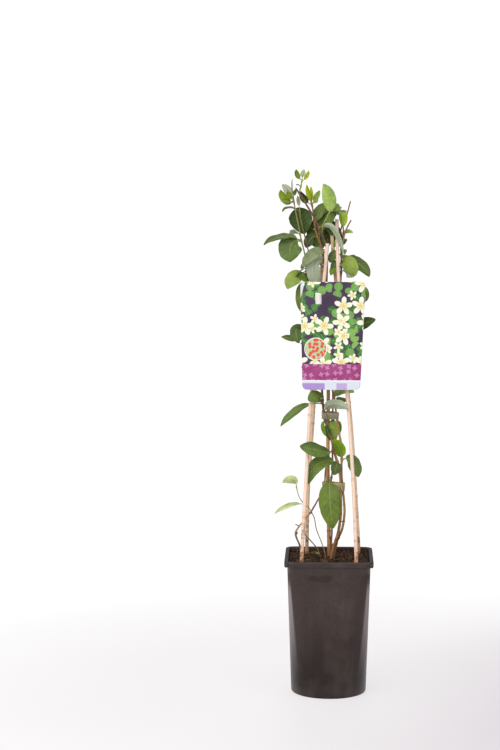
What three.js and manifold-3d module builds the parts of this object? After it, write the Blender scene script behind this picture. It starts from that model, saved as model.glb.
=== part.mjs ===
// Honeysuckle vine, trained up a wigwam of bamboo canes in a deep square-topped pot.
// Millimetres, +Z up, front towards -Y. The origin is the centre of the pot's underside.

import * as THREE from "three";
import Module from "manifold-3d";
import { mergeVertices } from "three/addons/utils/BufferGeometryUtils.js";

// ---------------------------------------------------------------- driving dimensions

// The pot: square at its rim, round at its foot, and one thin moulded wall.
const POT_HEIGHT = 215;
const RIM_HALF_WIDTH = 68.5;
const RIM_DEPTH = 8;
const BODY_TOP_HALF_WIDTH = 64;
const BODY_BASE_HALF_WIDTH = 58.4;
const TOP_CORNER_RADIUS = 9;
const POT_WALL = 1.6;
const POT_FLOOR = 2.4;
const FOOT_FILLET = 2.5;
const CORNER_STEPS = 6;
const WALL_RINGS = [0.3, 0.6];
const LUG_SIZE = 6;
const LUG_DEPTH = 6;
const LUG_PROUD = 1.5;
const DRAIN_HOLES = 8;
const DRAIN_HOLE_RADIUS = 4.5;
const DRAIN_RING_RADIUS = 40;
const DRAIN_HOLE_SIDES = 12;

// The soil fills the pot almost to the rim.
const SOIL_LEVEL = 208.5;
const SOIL_ROUGHNESS = 2.2;
const SOIL_RINGS = 5;
const SOIL_SHOULDER = 4;

// Neighbours that touch in the real plant keep this much room.
const CLEARANCE = 0.35;

// Bamboo canes: four lean together as a wigwam and a shorter one stands in the middle.
const CANE_BASE_RADIUS = 3.1;
const CANE_TOP_RADIUS = 2.8;
const CANE_SIDES = 8;
const CANE_STEP = 70;
const STEM_SIDES = 6;
const STEM_STEP = 30;
const HEIGHT_SAMPLES = 400;

// Leaves.
const BLADE_THICKNESS = 0.7;
const PETIOLE_HALF_WIDTH = 0.8;
const PETIOLE_THICKNESS = 1.4;
const LONGEST_PETIOLE_SHARE = 0.3;
const WIDE_LEAF = 12;
const WIDE_LEAF_STATIONS = [0.12, 0.4, 0.7, 0.9, 1];
const NARROW_LEAF_STATIONS = [0.2, 0.6, 1];
const TIP_HALF_WIDTH = 0.35;
const BLADE_BLUNTNESS = 0.62;
const RIPPLE_TURN = 9;

// The printed plastic label is a tapering card with a tongue cut free near its top.
const LABEL_TOP_Z = 641;
const LABEL_BOTTOM_Z = 477;
const LABEL_TOP_HALF_WIDTH = 50;
const LABEL_BOTTOM_HALF_WIDTH = 44;
const LABEL_TOP_X = 4.5;
const LABEL_BOTTOM_X = 2.5;
const LABEL_TOP_Y = -22;
const LABEL_BOTTOM_Y = -37.5;
const LABEL_CORNER = 7;
const LABEL_THICKNESS = 0.8;
const LABEL_CURL = 6;
const LABEL_SHARES = [1, 0.6, 0.2, -0.2, -0.6, -0.85, -1];
const LABEL_FLAT_SHARE = 0.2;
const TONGUE = { x: -17.5, z: 615.5, width: 9, height: 17, slit: 0.7 };
// Its folded strap, which hangs over the top tie behind the card.
const STRAP = { x: 0, z: 625.5, width: 8, back: -14, drop: 13 };

// Garden tape: its thickness and the height of each band.
const TAPE_THICKNESS = 0.9;
const TAPE_TURN_SIDES = 16;
const LOWER_TIE_Z = [316, 330];
const UPPER_TIE_Z = [428, 439];
const TOP_TIE_Z = [616, 622];

const COLOURS = {
  potPlastic: { color: "#453d3b", roughness: 0.42 },
  soil: { color: "#3c2b20", roughness: 1.0 },
  bamboo: { color: "#eed6c0", roughness: 0.6 },
  foliage: { color: "#6c8048", roughness: 0.5 },
  paleFoliage: { color: "#a9b884", roughness: 0.5 },
  bark: { color: "#84603f", roughness: 0.85 },
  tape: { color: "#a19a7a", roughness: 0.7 },
  labelCard: { color: "#41304b", roughness: 0.3 },
};

// ---------------------------------------------------------------- where things grow

// Each cane is a list of points up its middle, from deep in the soil to its top.
const CANES = {
  cane_front_left: [[-45, -49, 110], [-42, -45, 213], [-33, -33, 384], [-29, -28, 455],
    [-9, -12, 644], [-4, -8, 699]],
  cane_front_right: [[43, -48, 110], [42, -45, 214], [36, -35, 346], [27, -25, 472],
    [13, -10, 648], [10, -2, 736]],
  cane_back_left: [[-36, 45, 110], [-35, 40, 207], [-33, 33, 314], [-28, 28, 391],
    [-17, 17, 570], [-11, 10, 690]],
  cane_back_right: [[47, 42, 110], [47, 40, 207], [42, 34, 297], [33, 25, 423],
    [8, 9, 650], [2, 5, 718]],
  cane_centre: [[1, 7, 60], [0, 5, 221], [-2, 3, 332], [-2, 3, 462], [0, 2, 600]],
};

// Each vine is one plant stem with its side shoots and leaves, fused as they grow.
// A stem is a list of points with its radius at the root and at the end.
// A leaf is [stem, height it leaves the stem at, bend, tip, width, upper side faces, kind]:
// its midrib is a curve from the stem through the pull of the bend point to the tip.
const VINES = {
  vine_right: {
    material: "foliage",
    stems: {
      main: { radii: [2.0, 1.3], points: [[8, 1, 140], [7, 0, 205], [13, -2, 238],
        [20, -4, 255], [24, -6, 283], [23, -8, 302], [21, -8, 320], [19, -6, 345],
        [19, -5, 383], [13, -4, 419], [7, -6, 461], [3, -7, 485], [5, -5, 540],
        [12, 0, 600], [17, 4, 650], [17, 4, 692]] },
      cutHigh: { on: "main", at: 688, radii: [1.2, 1.0],
        points: [[15, 1, 711], [18, 1, 726], [24, 1, 739], [31, 1, 764]] },
      cutLow: { on: "main", at: 672, radii: [1.2, 1.1],
        points: [[20, 2, 702], [24, 1, 719], [32, 0, 735]] },
      crown: { on: "main", at: 690, radii: [1.2, 0.8],
        points: [[20, 6, 712], [19, 5, 730], [14, 1, 746], [12, -1, 753]] },
    },
    leaves: [
      ["main", 366, [18, -16, 388], [4, -20, 397], 18, [0, -0.8, 0.6], "young"],
      ["main", 364, [36, -4, 377], [45, -6, 338], 22, [0.3, -0.9, 0.3], "mature"],
      ["main", 460, [16, 0, 482], [38, 1, 469], 16, [0.1, -0.85, 0.5], "young"],
      ["main", 455, [14, 7, 461], [28, 9, 454], 13, [0, -0.6, 0.8], "mature"],
      ["main", 426, [16, 5, 424], [15, 5, 403], 8, [0.3, -0.9, 0.2], "young"],
      ["main", 510, [26, 0, 526], [44, 2, 506], 22, [0.2, -0.3, 0.9], "mature"],
      ["main", 545, [28, -4, 560], [46, -4, 536], 22, [0.2, -0.4, 0.9], "mature"],
      ["main", 562, [50, -2, 575], [70, -12, 583], 19, [0.2, -0.85, 0.5], "spoon"],
      ["main", 600, [30, 2, 618], [46, 8, 598], 22, [0.3, -0.3, 0.9], "mature"],
      ["main", 628, [66, 0, 643], [54, -10, 610], 18, [0.8, -0.5, 0.3], "mature"],
      ["main", 664, [24, -12, 686], [39, -14, 650], 26, [0.1, -0.8, 0.6], "pale"],
      ["main", 668, [43, 2, 682], [60, -8, 648], 22, [0.2, -0.8, 0.6], "mature"],
      ["main", 655, [21, -6, 662], [37, -8, 648], 18, [0, 0.8, 0.5], "mature"],
      ["main", 662, [9, -2, 670], [1, -6, 650], 12, [-0.3, -0.8, 0.5], "young"],
      ["main", 680, [6, 0, 693], [0, -1, 669], 13, [-0.1, -0.9, 0.4], "mature"],
      ["main", 666, [8, -1, 676], [4, -3, 657], 12, [0, -0.9, 0.4], "mature"],
      ["main", 690, [10, 1, 712], [6, 1, 692], 7, [0.1, -0.9, 0.3], "young"],
      ["main", 670, [30, 20, 692], [44, 34, 664], 22, [0.3, 0.3, 0.9], "mature"],
      ["main", 682, [24, -4, 698], [22, -9, 682], 7, [0.4, -0.7, 0.6], "young"],
      ["main", 690, [15, 26, 720], [13, 44, 694], 22, [0.1, 0.4, 0.9], "mature"],
      ["crown", 714, [26, 4, 721], [35, 2, 715], 8, [0, -0.8, 0.6], "sessile"],
      ["crown", 735, [15, 22, 762], [12, 38, 742], 20, [0.1, 0.4, 0.9], "mature"],
      ["crown", 747, [19, -4, 765], [4, -9, 748], 14, [0.3, -0.4, 0.85], "mature"],
      ["crown", 744, [20, -12, 753], [19, -14, 724], 15, [0.4, -0.7, 0.6], "young"],
      ["crown", 742, [0, -9, 752], [-3, -9, 724], 14, [-0.3, -0.85, 0.5], "mature"],
      ["crown", 748, [6, 2, 753], [3, 4, 757], 9, [-0.2, -0.8, 0.5], "young"],
      ["main", 690, [4, 26, 740], [-16, 17, 731], 18, [-0.2, -0.8, 0.5], "mature"],
    ],
  },
  vine_front: {
    material: "foliage",
    stems: {
      main: { radii: [2.5, 1.3], points: [[3, -6, 140], [3, -7, 207], [8, -7, 231],
        [14, -8, 250], [18, -10, 279], [18, -11, 303], [17, -10, 340], [13, -10, 359],
        [7, -9, 380], [2, -9, 402], [-5, -9, 421], [-9, -8, 440], [-11, -6, 460],
        [-13, -4, 520], [-9, -2, 590], [-5, -3, 648], [-6, -2, 694], [-16, -5, 720],
        [-26, -8, 741], [-37, -11, 759], [-46, -13, 773], [-53, -14, 784]] },
      bud: { on: "main", at: 776, radii: [1.1, 1.0],
        points: [[-45, -14, 786], [-43, -14, 797]] },
      paleShoot: { on: "main", at: 712, radii: [0.9, 0.8],
        points: [[-12, -10, 722], [-7, -14, 736], [0, -15, 749]] },
    },
    leaves: [
      ["main", 362, [-27, -32, 374], [-32, -28, 330], 23, [-0.3, -0.85, 0.45], "mature"],
      ["main", 362, [13, -30, 365], [7, -28, 344], 17, [0.2, -0.9, 0.4], "mature"],
      ["main", 458, [-14, -40, 473], [-33, -38, 461], 20, [-0.2, -0.95, 0.3], "spoon"],
      ["main", 440, [5, -30, 464], [29, -36, 447], 18, [0, 0.9, 0.45], "mature"],
      ["main", 426, [-7, -14, 422], [2, -9, 395], 9, [-0.1, -0.9, 0.2], "mature"],
      ["main", 429, [-14, -13, 420], [-5, -11, 402], 7, [-0.4, -0.9, 0.2], "young"],
      ["main", 490, [-26, -12, 508], [-38, -17, 492], 17, [-0.2, -0.3, 0.9], "mature"],
      ["main", 546, [-26, -12, 562], [-42, -16, 540], 17, [-0.2, -0.3, 0.9], "mature"],
      ["main", 600, [-24, -6, 618], [-36, -15, 596], 18, [-0.3, -0.3, 0.9], "mature"],
      ["main", 676, [-40, -28, 679], [-16, -5, 628], 22, [-0.15, 0.95, 0.1], "mature"],
      ["main", 684, [-24, -18, 696], [-42, -26, 664], 18, [-0.2, -0.85, 0.4], "mature"],
      ["main", 722, [7, -26, 742], [20, -22, 683], 11, [0.6, 0.7, 0.3], "mature"],
      ["main", 716, [-2, 2, 738], [3, 0, 711], 14, [0, -0.9, 0.4], "mature"],
      ["paleShoot", 747, [2, -17, 770], [-11, -16, 790], 21, [0.05, -1, 0.1], "sessile"],
      ["bud", 795, [-51, -15, 800], [-52, -16, 812], 8, [-0.3, -0.8, 0.4], "young"],
      ["bud", 795, [-43, -16, 803], [-40, -14, 812], 8, [0, 0.9, 0.3], "pale"],
      ["bud", 794, [-35, -11, 799], [-33, -11, 810], 6, [0.3, -0.8, 0.4], "young"],
      ["bud", 786, [-49, -17, 790], [-52, -20, 788], 5, [-0.3, -0.6, 0.7], "mature"],
    ],
  },
  vine_middle: {
    material: "foliage",
    stems: {
      main: { radii: [1.4, 1.2], points: [[3, -1, 140], [2, -1, 207], [4, -3, 240],
        [4, -3, 270], [1, -3, 300], [2, -3, 325], [5, 0, 350], [5, 3, 380], [5, 5, 420],
        [5, 7, 460], [4, 9, 520], [-2, 8, 580], [-8, 4, 640], [-12, 2, 687],
        [-22, 0, 718], [-27, 0, 752], [-30, 0, 767]] },
    },
    leaves: [
      ["main", 336, [-4, -34, 331], [6, -25, 260], 34, [0, -0.9, 0.45], "broad"],
      ["main", 377, [-12, -44, 382], [-45, -50, 392], 23, [-0.1, -0.9, 0.45], "spoon"],
      ["main", 430, [3, -8, 431], [9, -5, 394], 15, [-0.25, -1, 0.1], "pale"],
      ["main", 500, [10, 32, 524], [12, 50, 498], 24, [0, 0.4, 0.9], "mature"],
      ["main", 540, [0, 34, 562], [-4, 52, 530], 24, [0, 0.4, 0.9], "mature"],
      ["main", 575, [7, 30, 596], [14, 46, 574], 20, [0.1, 0.4, 0.9], "mature"],
      ["main", 594, [4, 30, 616], [5, 48, 588], 20, [0, 0.4, 0.9], "mature"],
      ["main", 660, [-28, 5, 686], [-44, 18, 658], 22, [-0.3, 0.3, 0.9], "mature"],
      ["main", 694, [-14, 26, 724], [-10, 46, 694], 24, [0, 0.4, 0.9], "mature"],
      ["main", 716, [-34, 20, 744], [-44, 34, 716], 24, [-0.3, 0.3, 0.9], "mature"],
      ["main", 736, [-12, 20, 764], [-2, 38, 738], 22, [0.2, 0.4, 0.9], "mature"],
      ["main", 758, [-43, -6, 765], [-45, -8, 779], 11, [-0.3, -0.9, 0.2], "mature"],
      ["main", 760, [-35, -3, 774], [-36, -3, 789], 7, [-0.2, -0.95, 0.1], "young"],
      ["main", 760, [-29, 0, 774], [-30, -1, 786], 6, [0.2, -0.95, 0.1], "young"],
      ["main", 757, [-26, -4, 763], [-16, -6, 780], 9, [0.3, -0.9, -0.1], "pale"],
      ["main", 759, [-23, 3, 762], [-19, 3, 768], 7, [0.2, -0.8, 0.5], "pale"],
      ["main", 726, [-19, 4, 758], [-2, 6, 757], 17, [0, -0.85, 0.5], "mature"],
      ["main", 730, [-34, 4, 746], [-30, 6, 718], 18, [-0.1, -0.9, 0.4], "mature"],
      ["main", 706, [-6, 11, 724], [-3, 12, 693], 15, [0.1, -0.9, 0.4], "mature"],
      ["main", 704, [-27, 4, 719], [-37, 2, 692], 18, [-0.2, -0.9, 0.4], "mature"],
      ["main", 714, [-12, 5, 712], [-18, 5, 688], 18, [0, -0.9, 0.4], "mature"],
      ["main", 710, [-8, 8, 746], [8, 10, 742], 20, [0.1, -0.8, 0.5], "mature"],
      ["main", 702, [-17, 5, 744], [-5, 6, 716], 17, [0.1, -0.9, 0.4], "mature"],
      ["main", 688, [-28, 10, 707], [-33, 10, 725], 18, [-0.3, -0.9, 0.3], "mature"],
    ],
  },
  vine_left: {
    material: "foliage",
    stems: {
      main: { radii: [1.4, 1.0], points: [[-40, -18, 150], [-42, -19, 205], [-45, -18, 231],
        [-52, -21, 252], [-46, -22, 263], [-37, -20, 274], [-28, -17, 285], [-16, -10, 305],
        [-9, -6, 314], [-7, 0, 328], [-6, 7, 345], [-2, 9, 370], [-1, 9, 400], [-3, 9, 441],
        [-12, 8, 452], [-24, 4, 468], [-32, 0, 500], [-36, -2, 560], [-36, -5, 640],
        [-38, -9, 678],
        [-45, -14, 708], [-47, -15, 720], [-53, -15, 749], [-57, -16, 771]] },
      redShoot: { on: "main", at: 655, radii: [1.0, 0.8],
        points: [[-33, -4, 683], [-38, -4, 706], [-44, -4, 730], [-47, -5, 752]] },
    },
    leaves: [
      ["main", 450, [-45, -6, 459], [-75, -26, 419], 15, [-0.3, -0.7, 0.6], "stalked"],
      ["main", 500, [-34, 16, 520], [-34, 32, 500], 22, [-0.3, 0.3, 0.9], "mature"],
      ["main", 536, [-36, 18, 560], [-34, 36, 536], 22, [-0.4, 0.3, 0.9], "mature"],
      ["main", 558, [-61, -14, 583], [-47, -24, 547], 20, [-0.4, -0.75, 0.5], "mature"],
      ["main", 552, [-63, 0, 553], [-75, -4, 555], 12, [-0.1, -0.7, 0.6], "mature"],
      ["main", 600, [-40, 16, 624], [-42, 34, 598], 22, [-0.4, 0.3, 0.9], "mature"],
      ["main", 646, [-53, -16, 624], [-42, -12, 593], 15, [-0.5, -0.8, 0.2], "mature"],
      ["main", 648, [-56, -18, 657], [-65, -22, 630], 24, [-0.2, -0.9, 0.35], "pale"],
      ["main", 656, [-50, -19, 656], [-31, -9, 643], 18, [0, -0.8, 0.6], "mature"],
      ["main", 662, [-47, -14, 659], [-53, -18, 648], 10, [0, 0.3, 0.95], "mature"],
      ["main", 702, [-65, -26, 711], [-61, -24, 671], 38, [-0.3, -0.9, 0.3], "mature"],
      ["main", 704, [-76, -24, 720], [-101, -30, 697], 20, [0, -0.35, 0.95], "mature"],
      ["redShoot", 700, [-42, 1, 724], [-50, 2, 754], 35, [0, -1, 0.05], "folded"],
      ["main", 712, [-54, 2, 722], [-62, 6, 712], 13, [0, 0.7, 0.7], "mature"],
      ["main", 762, [-68, -14, 759], [-76, -18, 781], 15, [-0.4, -0.8, -0.3], "young"],
      ["main", 764, [-64, -20, 762], [-75, -24, 766], 8, [-0.2, -0.6, 0.7], "young"],
      ["main", 768, [-65, -10, 783], [-74, -8, 789], 12, [0.2, 0.8, -0.4], "pale"],
      ["main", 770, [-60, -16, 787], [-58, -18, 798], 4, [0.9, -0.3, 0], "young"],
      ["main", 766, [-63, -24, 769], [-65, -26, 780], 9, [0, -0.9, 0.3], "young"],
      ["main", 768, [-54, -18, 778], [-53, -20, 782], 6, [0.3, -0.9, 0.2], "mature"],
      ["redShoot", 748, [-68, -8, 761], [-73, -10, 747], 9, [-0.1, -0.3, 0.95], "mature"],
      ["redShoot", 750, [-49, -6, 765], [-50, -7, 772], 6, [0, -0.9, 0.3], "pale"],
    ],
  },
  vine_seedling: {
    material: "paleFoliage",
    stems: {
      main: { radii: [0.8, 0.7], points: [[-5, 2, 170], [-6, 2, 215], [-20, -8, 258],
        [-23, -10, 274], [-31, -14, 290], [-40, -18, 299], [-46, -20, 308],
        [-51, -21, 325]] },
    },
    leaves: [
      ["main", 322, [-51, -23, 345], [-72, -26, 332], 13, [-0.1, -0.85, 0.45], "pale"],
      ["main", 297, [-63, -23, 302], [-84, -26, 283], 9, [-0.1, -0.6, 0.7], "pale"],
    ],
  },
  vine_bare_twig: {
    material: "bark",
    stems: {
      main: { radii: [1.0, 0.8], points: [[-12, 3, 170], [-13, 2, 209], [-17, 0, 222],
        [-38, -10, 249], [-40, -11, 252]] },
    },
    leaves: [
      ["main", 214, [-16, -3, 219], [-20, -5, 217], 5, [0, -0.6, 0.8], "young"],
    ],
  },
};

// Each kind of leaf: the lift of its halves from the midrib, the ripple of its edge, how
// much fuller it is near its base than near its tip, and the length of its petiole.
const LEAF_KINDS = {
  mature: { fold: 0.16, wave: 0.05, fuller: 0.3, petiole: 7 },
  pale: { fold: 0.1, wave: 0.04, fuller: 0.3, petiole: 7 },
  young: { fold: 0.34, wave: 0.03, fuller: 0.2, petiole: 4 },
  spoon: { fold: 0.12, wave: 0.05, fuller: -0.7, petiole: 9 },
  stalked: { fold: 0.12, wave: 0.04, fuller: 0.1, petiole: 22 },
  sessile: { fold: 0.1, wave: 0.02, fuller: 0.3, petiole: 1 },
  broad: { fold: 0.12, wave: 0.05, fuller: 0.35, petiole: 13 },
  folded: { fold: 0.42, wave: 0.03, fuller: -0.5, petiole: 14 },
};

// ---------------------------------------------------------------- solids and geometry

const wasm = await Module();
wasm.setup();

// A closed mesh as a solid, with its shared corners merged.
function solidOf(geometry) {
  const bare = geometry.clone();
  bare.deleteAttribute("normal");
  bare.deleteAttribute("uv");
  const merged = mergeVertices(bare);
  return new wasm.Manifold(new wasm.Mesh({
    numProp: 3,
    vertProperties: new Float32Array(merged.attributes.position.array),
    triVerts: new Uint32Array(merged.index.array),
  }));
}

// An upright block by its middle and its size.
function blockSolid([x, y, z], [wide, deep, high]) {
  const block = new THREE.BoxGeometry(wide, deep, high);
  block.translate(x, y, z);
  return solidOf(block);
}

// A solid's triangles as a mesh.
function geometryOf(solid) {
  const mesh = solid.getMesh();
  const geometry = new THREE.BufferGeometry();
  geometry.setAttribute("position", new THREE.BufferAttribute(mesh.vertProperties, 3));
  geometry.setIndex(new THREE.BufferAttribute(mesh.triVerts, 1));
  return geometry;
}

function meshGeometry(points, triangles) {
  const geometry = new THREE.BufferGeometry();
  const flat = points.flatMap((p) => [p.x, p.y, p.z]);
  geometry.setAttribute("position", new THREE.Float32BufferAttribute(flat, 3));
  geometry.setIndex(triangles);
  return geometry;
}

// Skins a row of rings, which all run anticlockwise seen from the last one, and caps it.
function loft(rings) {
  const sides = rings[0].length;
  const points = rings.flat();
  const triangles = [];
  for (let i = 0; i < rings.length - 1; i += 1) {
    for (let j = 0; j < sides; j += 1) {
      const a = i * sides + j;
      const b = i * sides + (j + 1) % sides;
      triangles.push(a, b, b + sides, a, b + sides, a + sides);
    }
  }
  const start = points.push(middle(rings[0])) - 1;
  const end = points.push(middle(rings.at(-1))) - 1;
  const last = (rings.length - 1) * sides;
  for (let j = 0; j < sides; j += 1) {
    const next = (j + 1) % sides;
    triangles.push(start, next, j, end, last + j, last + next);
  }
  return meshGeometry(points, triangles);
}

function middle(ring) {
  const sum = new THREE.Vector3();
  ring.forEach((point) => sum.add(point));
  return sum.divideScalar(ring.length);
}

// A thin sheet from a grid of points: both faces are split into the same triangles.
function sheet(rows, normals, thicknesses) {
  const across = rows[0].length;
  const count = rows.length * across;
  const front = rows.flat();
  const back = rows.flatMap((row, i) => row.map((point, j) =>
    point.clone().addScaledVector(normals[i][j], -thicknesses[i])));
  const triangles = [];
  const wall = (a, b) => triangles.push(a, b + count, b, a, a + count, b + count);
  for (let i = 0; i < rows.length - 1; i += 1) {
    for (let j = 0; j < across - 1; j += 1) {
      const a = i * across + j;
      const c = a + across;
      const corners = j < (across - 1) / 2 ? [a, a + 1, c, a + 1, c + 1, c]
        : [a, a + 1, c + 1, a, c + 1, c];
      triangles.push(...corners, ...corners.map((n) => n + count).reverse());
    }
    wall((i + 1) * across, i * across);
    wall((i + 1) * across - 1, (i + 2) * across - 1);
  }
  for (let j = 0; j < across - 1; j += 1) {
    wall(j, j + 1);
    wall(count - across + j + 1, count - across + j);
  }
  return meshGeometry([...front, ...back], triangles);
}

// A smooth curve through every point of a list.
function curveThrough(points) {
  return new THREE.CatmullRomCurve3(points.map((p) => new THREE.Vector3(...p)), false,
    "centripetal");
}

// Where a stem has its rings: at every point of its list, and between those far apart.
function ringPlaces(curve, step) {
  const last = curve.points.length - 1;
  const places = [0];
  for (let i = 0; i < last; i += 1) {
    const gap = curve.points[i].distanceTo(curve.points[i + 1]);
    const parts = Math.max(1, Math.round(gap / step));
    for (let k = 1; k <= parts; k += 1) {
      places.push((i + k / parts) / last);
    }
  }
  return places;
}

// A round stem whose radius changes evenly from its root to its end.
function taperedTube(curve, radii, sides, step, extra = 0) {
  const places = ringPlaces(curve, step);
  let across = new THREE.Vector3(1, 0, 0);
  return loft(places.map((place) => {
    const centre = curve.getPoint(place);
    const along = curve.getTangent(place);
    const radius = THREE.MathUtils.lerp(radii[0], radii[1], place) + extra;
    across = across.clone().addScaledVector(along, -across.dot(along)).normalize();
    const third = new THREE.Vector3().crossVectors(along, across);
    const ring = [];
    for (let j = 0; j < sides; j += 1) {
      const angle = (2 * Math.PI * j) / sides;
      ring.push(centre.clone().addScaledVector(across, radius * Math.cos(angle))
        .addScaledVector(third, radius * Math.sin(angle)));
    }
    return ring;
  }));
}

// ---------------------------------------------------------------- pot and soil

// A square of the given half width with round corners, anticlockwise from above.
function roundedSquare(half, corner, z) {
  const inset = half - corner;
  const centres = [[inset, inset], [-inset, inset], [-inset, -inset], [inset, -inset]];
  return centres.flatMap(([x, y], quarter) => {
    const arc = [];
    for (let k = 0; k <= CORNER_STEPS; k += 1) {
      const angle = (quarter + k / CORNER_STEPS) * Math.PI / 2;
      arc.push(new THREE.Vector3(x + corner * Math.cos(angle), y + corner * Math.sin(angle), z));
    }
    return arc;
  });
}

// The pot's wall at a height: its half width and the radius of its corners.
function bodyAt(z) {
  const rise = z / POT_HEIGHT;
  const half = THREE.MathUtils.lerp(BODY_BASE_HALF_WIDTH, BODY_TOP_HALF_WIDTH, rise);
  const corner = THREE.MathUtils.lerp(BODY_BASE_HALF_WIDTH - 1, TOP_CORNER_RADIUS, rise);
  return { half, corner };
}

// The wall's outline at a height, moved in by an inset.
function bodyRing(z, inset) {
  const { half, corner } = bodyAt(z);
  return roundedSquare(half - inset, Math.max(corner - inset, 1.5), z);
}

// The moulded pot: its open shell, a lug at each corner of the rim, and its drain holes.
function potSolid() {
  const underRim = POT_HEIGHT - RIM_DEPTH;
  const rimCorner = TOP_CORNER_RADIUS + RIM_HALF_WIDTH - BODY_TOP_HALF_WIDTH;
  const wall = (inset) => WALL_RINGS.map((share) => bodyRing(POT_HEIGHT * share, inset));
  let pot = solidOf(loft([
    bodyRing(0, FOOT_FILLET),
    bodyRing(FOOT_FILLET / 3, FOOT_FILLET / 4),
    bodyRing(FOOT_FILLET, 0),
    ...wall(0),
    bodyRing(underRim, 0),
    roundedSquare(RIM_HALF_WIDTH, rimCorner, underRim + 1),
    roundedSquare(RIM_HALF_WIDTH, rimCorner, POT_HEIGHT),
    bodyRing(POT_HEIGHT, POT_WALL),
    ...wall(POT_WALL).reverse(),
    bodyRing(POT_FLOOR, POT_WALL + 1),
  ]));
  const lugMiddle = RIM_HALF_WIDTH - LUG_SIZE / 2 + LUG_PROUD - TOP_CORNER_RADIUS / 4;
  for (const [sx, sy] of [[1, 1], [-1, 1], [-1, -1], [1, -1]]) {
    pot = pot.add(blockSolid(
      [sx * lugMiddle, sy * lugMiddle, underRim + LUG_DEPTH / 2],
      [LUG_SIZE, LUG_SIZE, LUG_DEPTH],
    ));
  }
  for (let i = 0; i < DRAIN_HOLES; i += 1) {
    const angle = (2 * Math.PI * (i + 0.5)) / DRAIN_HOLES;
    const hole = new THREE.CylinderGeometry(DRAIN_HOLE_RADIUS, DRAIN_HOLE_RADIUS,
      4 * POT_FLOOR, DRAIN_HOLE_SIDES);
    hole.rotateX(Math.PI / 2);
    hole.translate(DRAIN_RING_RADIUS * Math.cos(angle), DRAIN_RING_RADIUS * Math.sin(angle), 0);
    pot = pot.subtract(solidOf(hole));
  }
  return pot;
}

// Low mounds and hollows of the potting soil.
function soilHeight(x, y) {
  const mounds = Math.sin(x * 0.13 + 1.1) * Math.cos(y * 0.11 - 0.4)
    + 0.6 * Math.sin(x * 0.31 - y * 0.23) + 0.4 * Math.cos(x * 0.47 + y * 0.39);
  return SOIL_LEVEL + SOIL_ROUGHNESS * mounds / 2;
}

// The filling of the pot, with a plain hole for each cane and stem that stands in it.
function soilSolid(holes) {
  const side = POT_WALL + CLEARANCE;
  const rings = [
    bodyRing(POT_FLOOR + CLEARANCE, side + 1 + CLEARANCE),
    ...WALL_RINGS.map((share) => bodyRing(POT_HEIGHT * share, side)),
    bodyRing(SOIL_LEVEL - SOIL_SHOULDER, side),
  ];
  for (let i = 0; i < SOIL_RINGS; i += 1) {
    const share = 1 - i / SOIL_RINGS;
    const ring = bodyRing(SOIL_LEVEL, side + CLEARANCE);
    ring.forEach((point) => {
      point.x *= share;
      point.y *= share;
      point.z = soilHeight(point.x, point.y);
    });
    rings.push(ring);
  }
  return holes.reduce((soil, hole) => soil.subtract(hole), solidOf(loft(rings)));
}

// ---------------------------------------------------------------- stems and leaves

// The point where a stem first reaches a height.
function pointAtHeight(curve, height) {
  let below = curve.getPoint(0);
  for (let i = 1; i <= HEIGHT_SAMPLES; i += 1) {
    const above = curve.getPoint(i / HEIGHT_SAMPLES);
    if (above.z >= height) {
      const share = (height - below.z) / (above.z - below.z);
      return below.lerp(above, THREE.MathUtils.clamp(share, 0, 1));
    }
    below = above;
  }
  return below;
}

// Half the blade's width at a share of its length: a blunt ellipse, fuller at one end.
function bladeHalfWidth(share, width, fuller) {
  const ellipse = Math.pow(Math.max(4 * share * (1 - share), 0), BLADE_BLUNTNESS);
  return Math.max(TIP_HALF_WIDTH, 0.5 * width * ellipse * (1 + fuller * (0.5 - share)));
}

// A leaf as one thin blade, creased along its midrib, that narrows to a petiole at its root.
function leafGeometry(root, bend, tip, width, face, kind) {
  const midrib = new THREE.QuadraticBezierCurve3(root, new THREE.Vector3(...bend),
    new THREE.Vector3(...tip));
  const length = midrib.getLength();
  const { fold, wave, fuller, petiole: stalk } = LEAF_KINDS[kind];
  const petiole = Math.min(stalk / length, LONGEST_PETIOLE_SHARE);
  const stations = width > WIDE_LEAF ? WIDE_LEAF_STATIONS : NARROW_LEAF_STATIONS;
  const rows = [];
  const normals = [];
  const thicknesses = [];
  const addRow = (along, half, thickness, lift) => {
    const centre = midrib.getPointAt(along);
    const tangent = midrib.getTangentAt(along);
    const up = new THREE.Vector3(...face);
    up.addScaledVector(tangent, -up.dot(tangent)).normalize();
    const side = new THREE.Vector3().crossVectors(up, tangent);
    rows.push([-1, 0, 1].map((j) => centre.clone().addScaledVector(side, -j * half)
      .addScaledVector(up, j === 0 ? 0 : lift + j * wave * half)));
    normals.push([up, up, up]);
    thicknesses.push(thickness);
  };
  addRow(0, PETIOLE_HALF_WIDTH, PETIOLE_THICKNESS, 0);
  addRow(petiole * 0.8, PETIOLE_HALF_WIDTH, PETIOLE_THICKNESS, 0.1);
  for (const share of stations) {
    const half = bladeHalfWidth(share, width, fuller);
    const ripple = wave * width * Math.sin(share * RIPPLE_TURN);
    addRow(petiole + (1 - petiole) * share, half, BLADE_THICKNESS, fold * half + ripple);
  }
  return sheet(rows, normals, thicknesses);
}

// One plant: its stems joined where they branch, with every leaf rooted in its stem.
function vineSolid(vine) {
  const curves = {};
  let solid = null;
  for (const [name, stem] of Object.entries(vine.stems)) {
    const points = [...stem.points];
    if (stem.on) {
      points.unshift(pointAtHeight(curves[stem.on], stem.at).toArray());
    }
    curves[name] = curveThrough(points);
    const tube = solidOf(taperedTube(curves[name], stem.radii, STEM_SIDES, STEM_STEP));
    solid = solid ? solid.add(tube) : tube;
  }
  for (const [stem, height, bend, tip, width, face, kind] of vine.leaves) {
    const root = pointAtHeight(curves[stem], height);
    solid = solid.add(solidOf(leafGeometry(root, bend, tip, width, face, kind)));
  }
  return solid;
}

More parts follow.
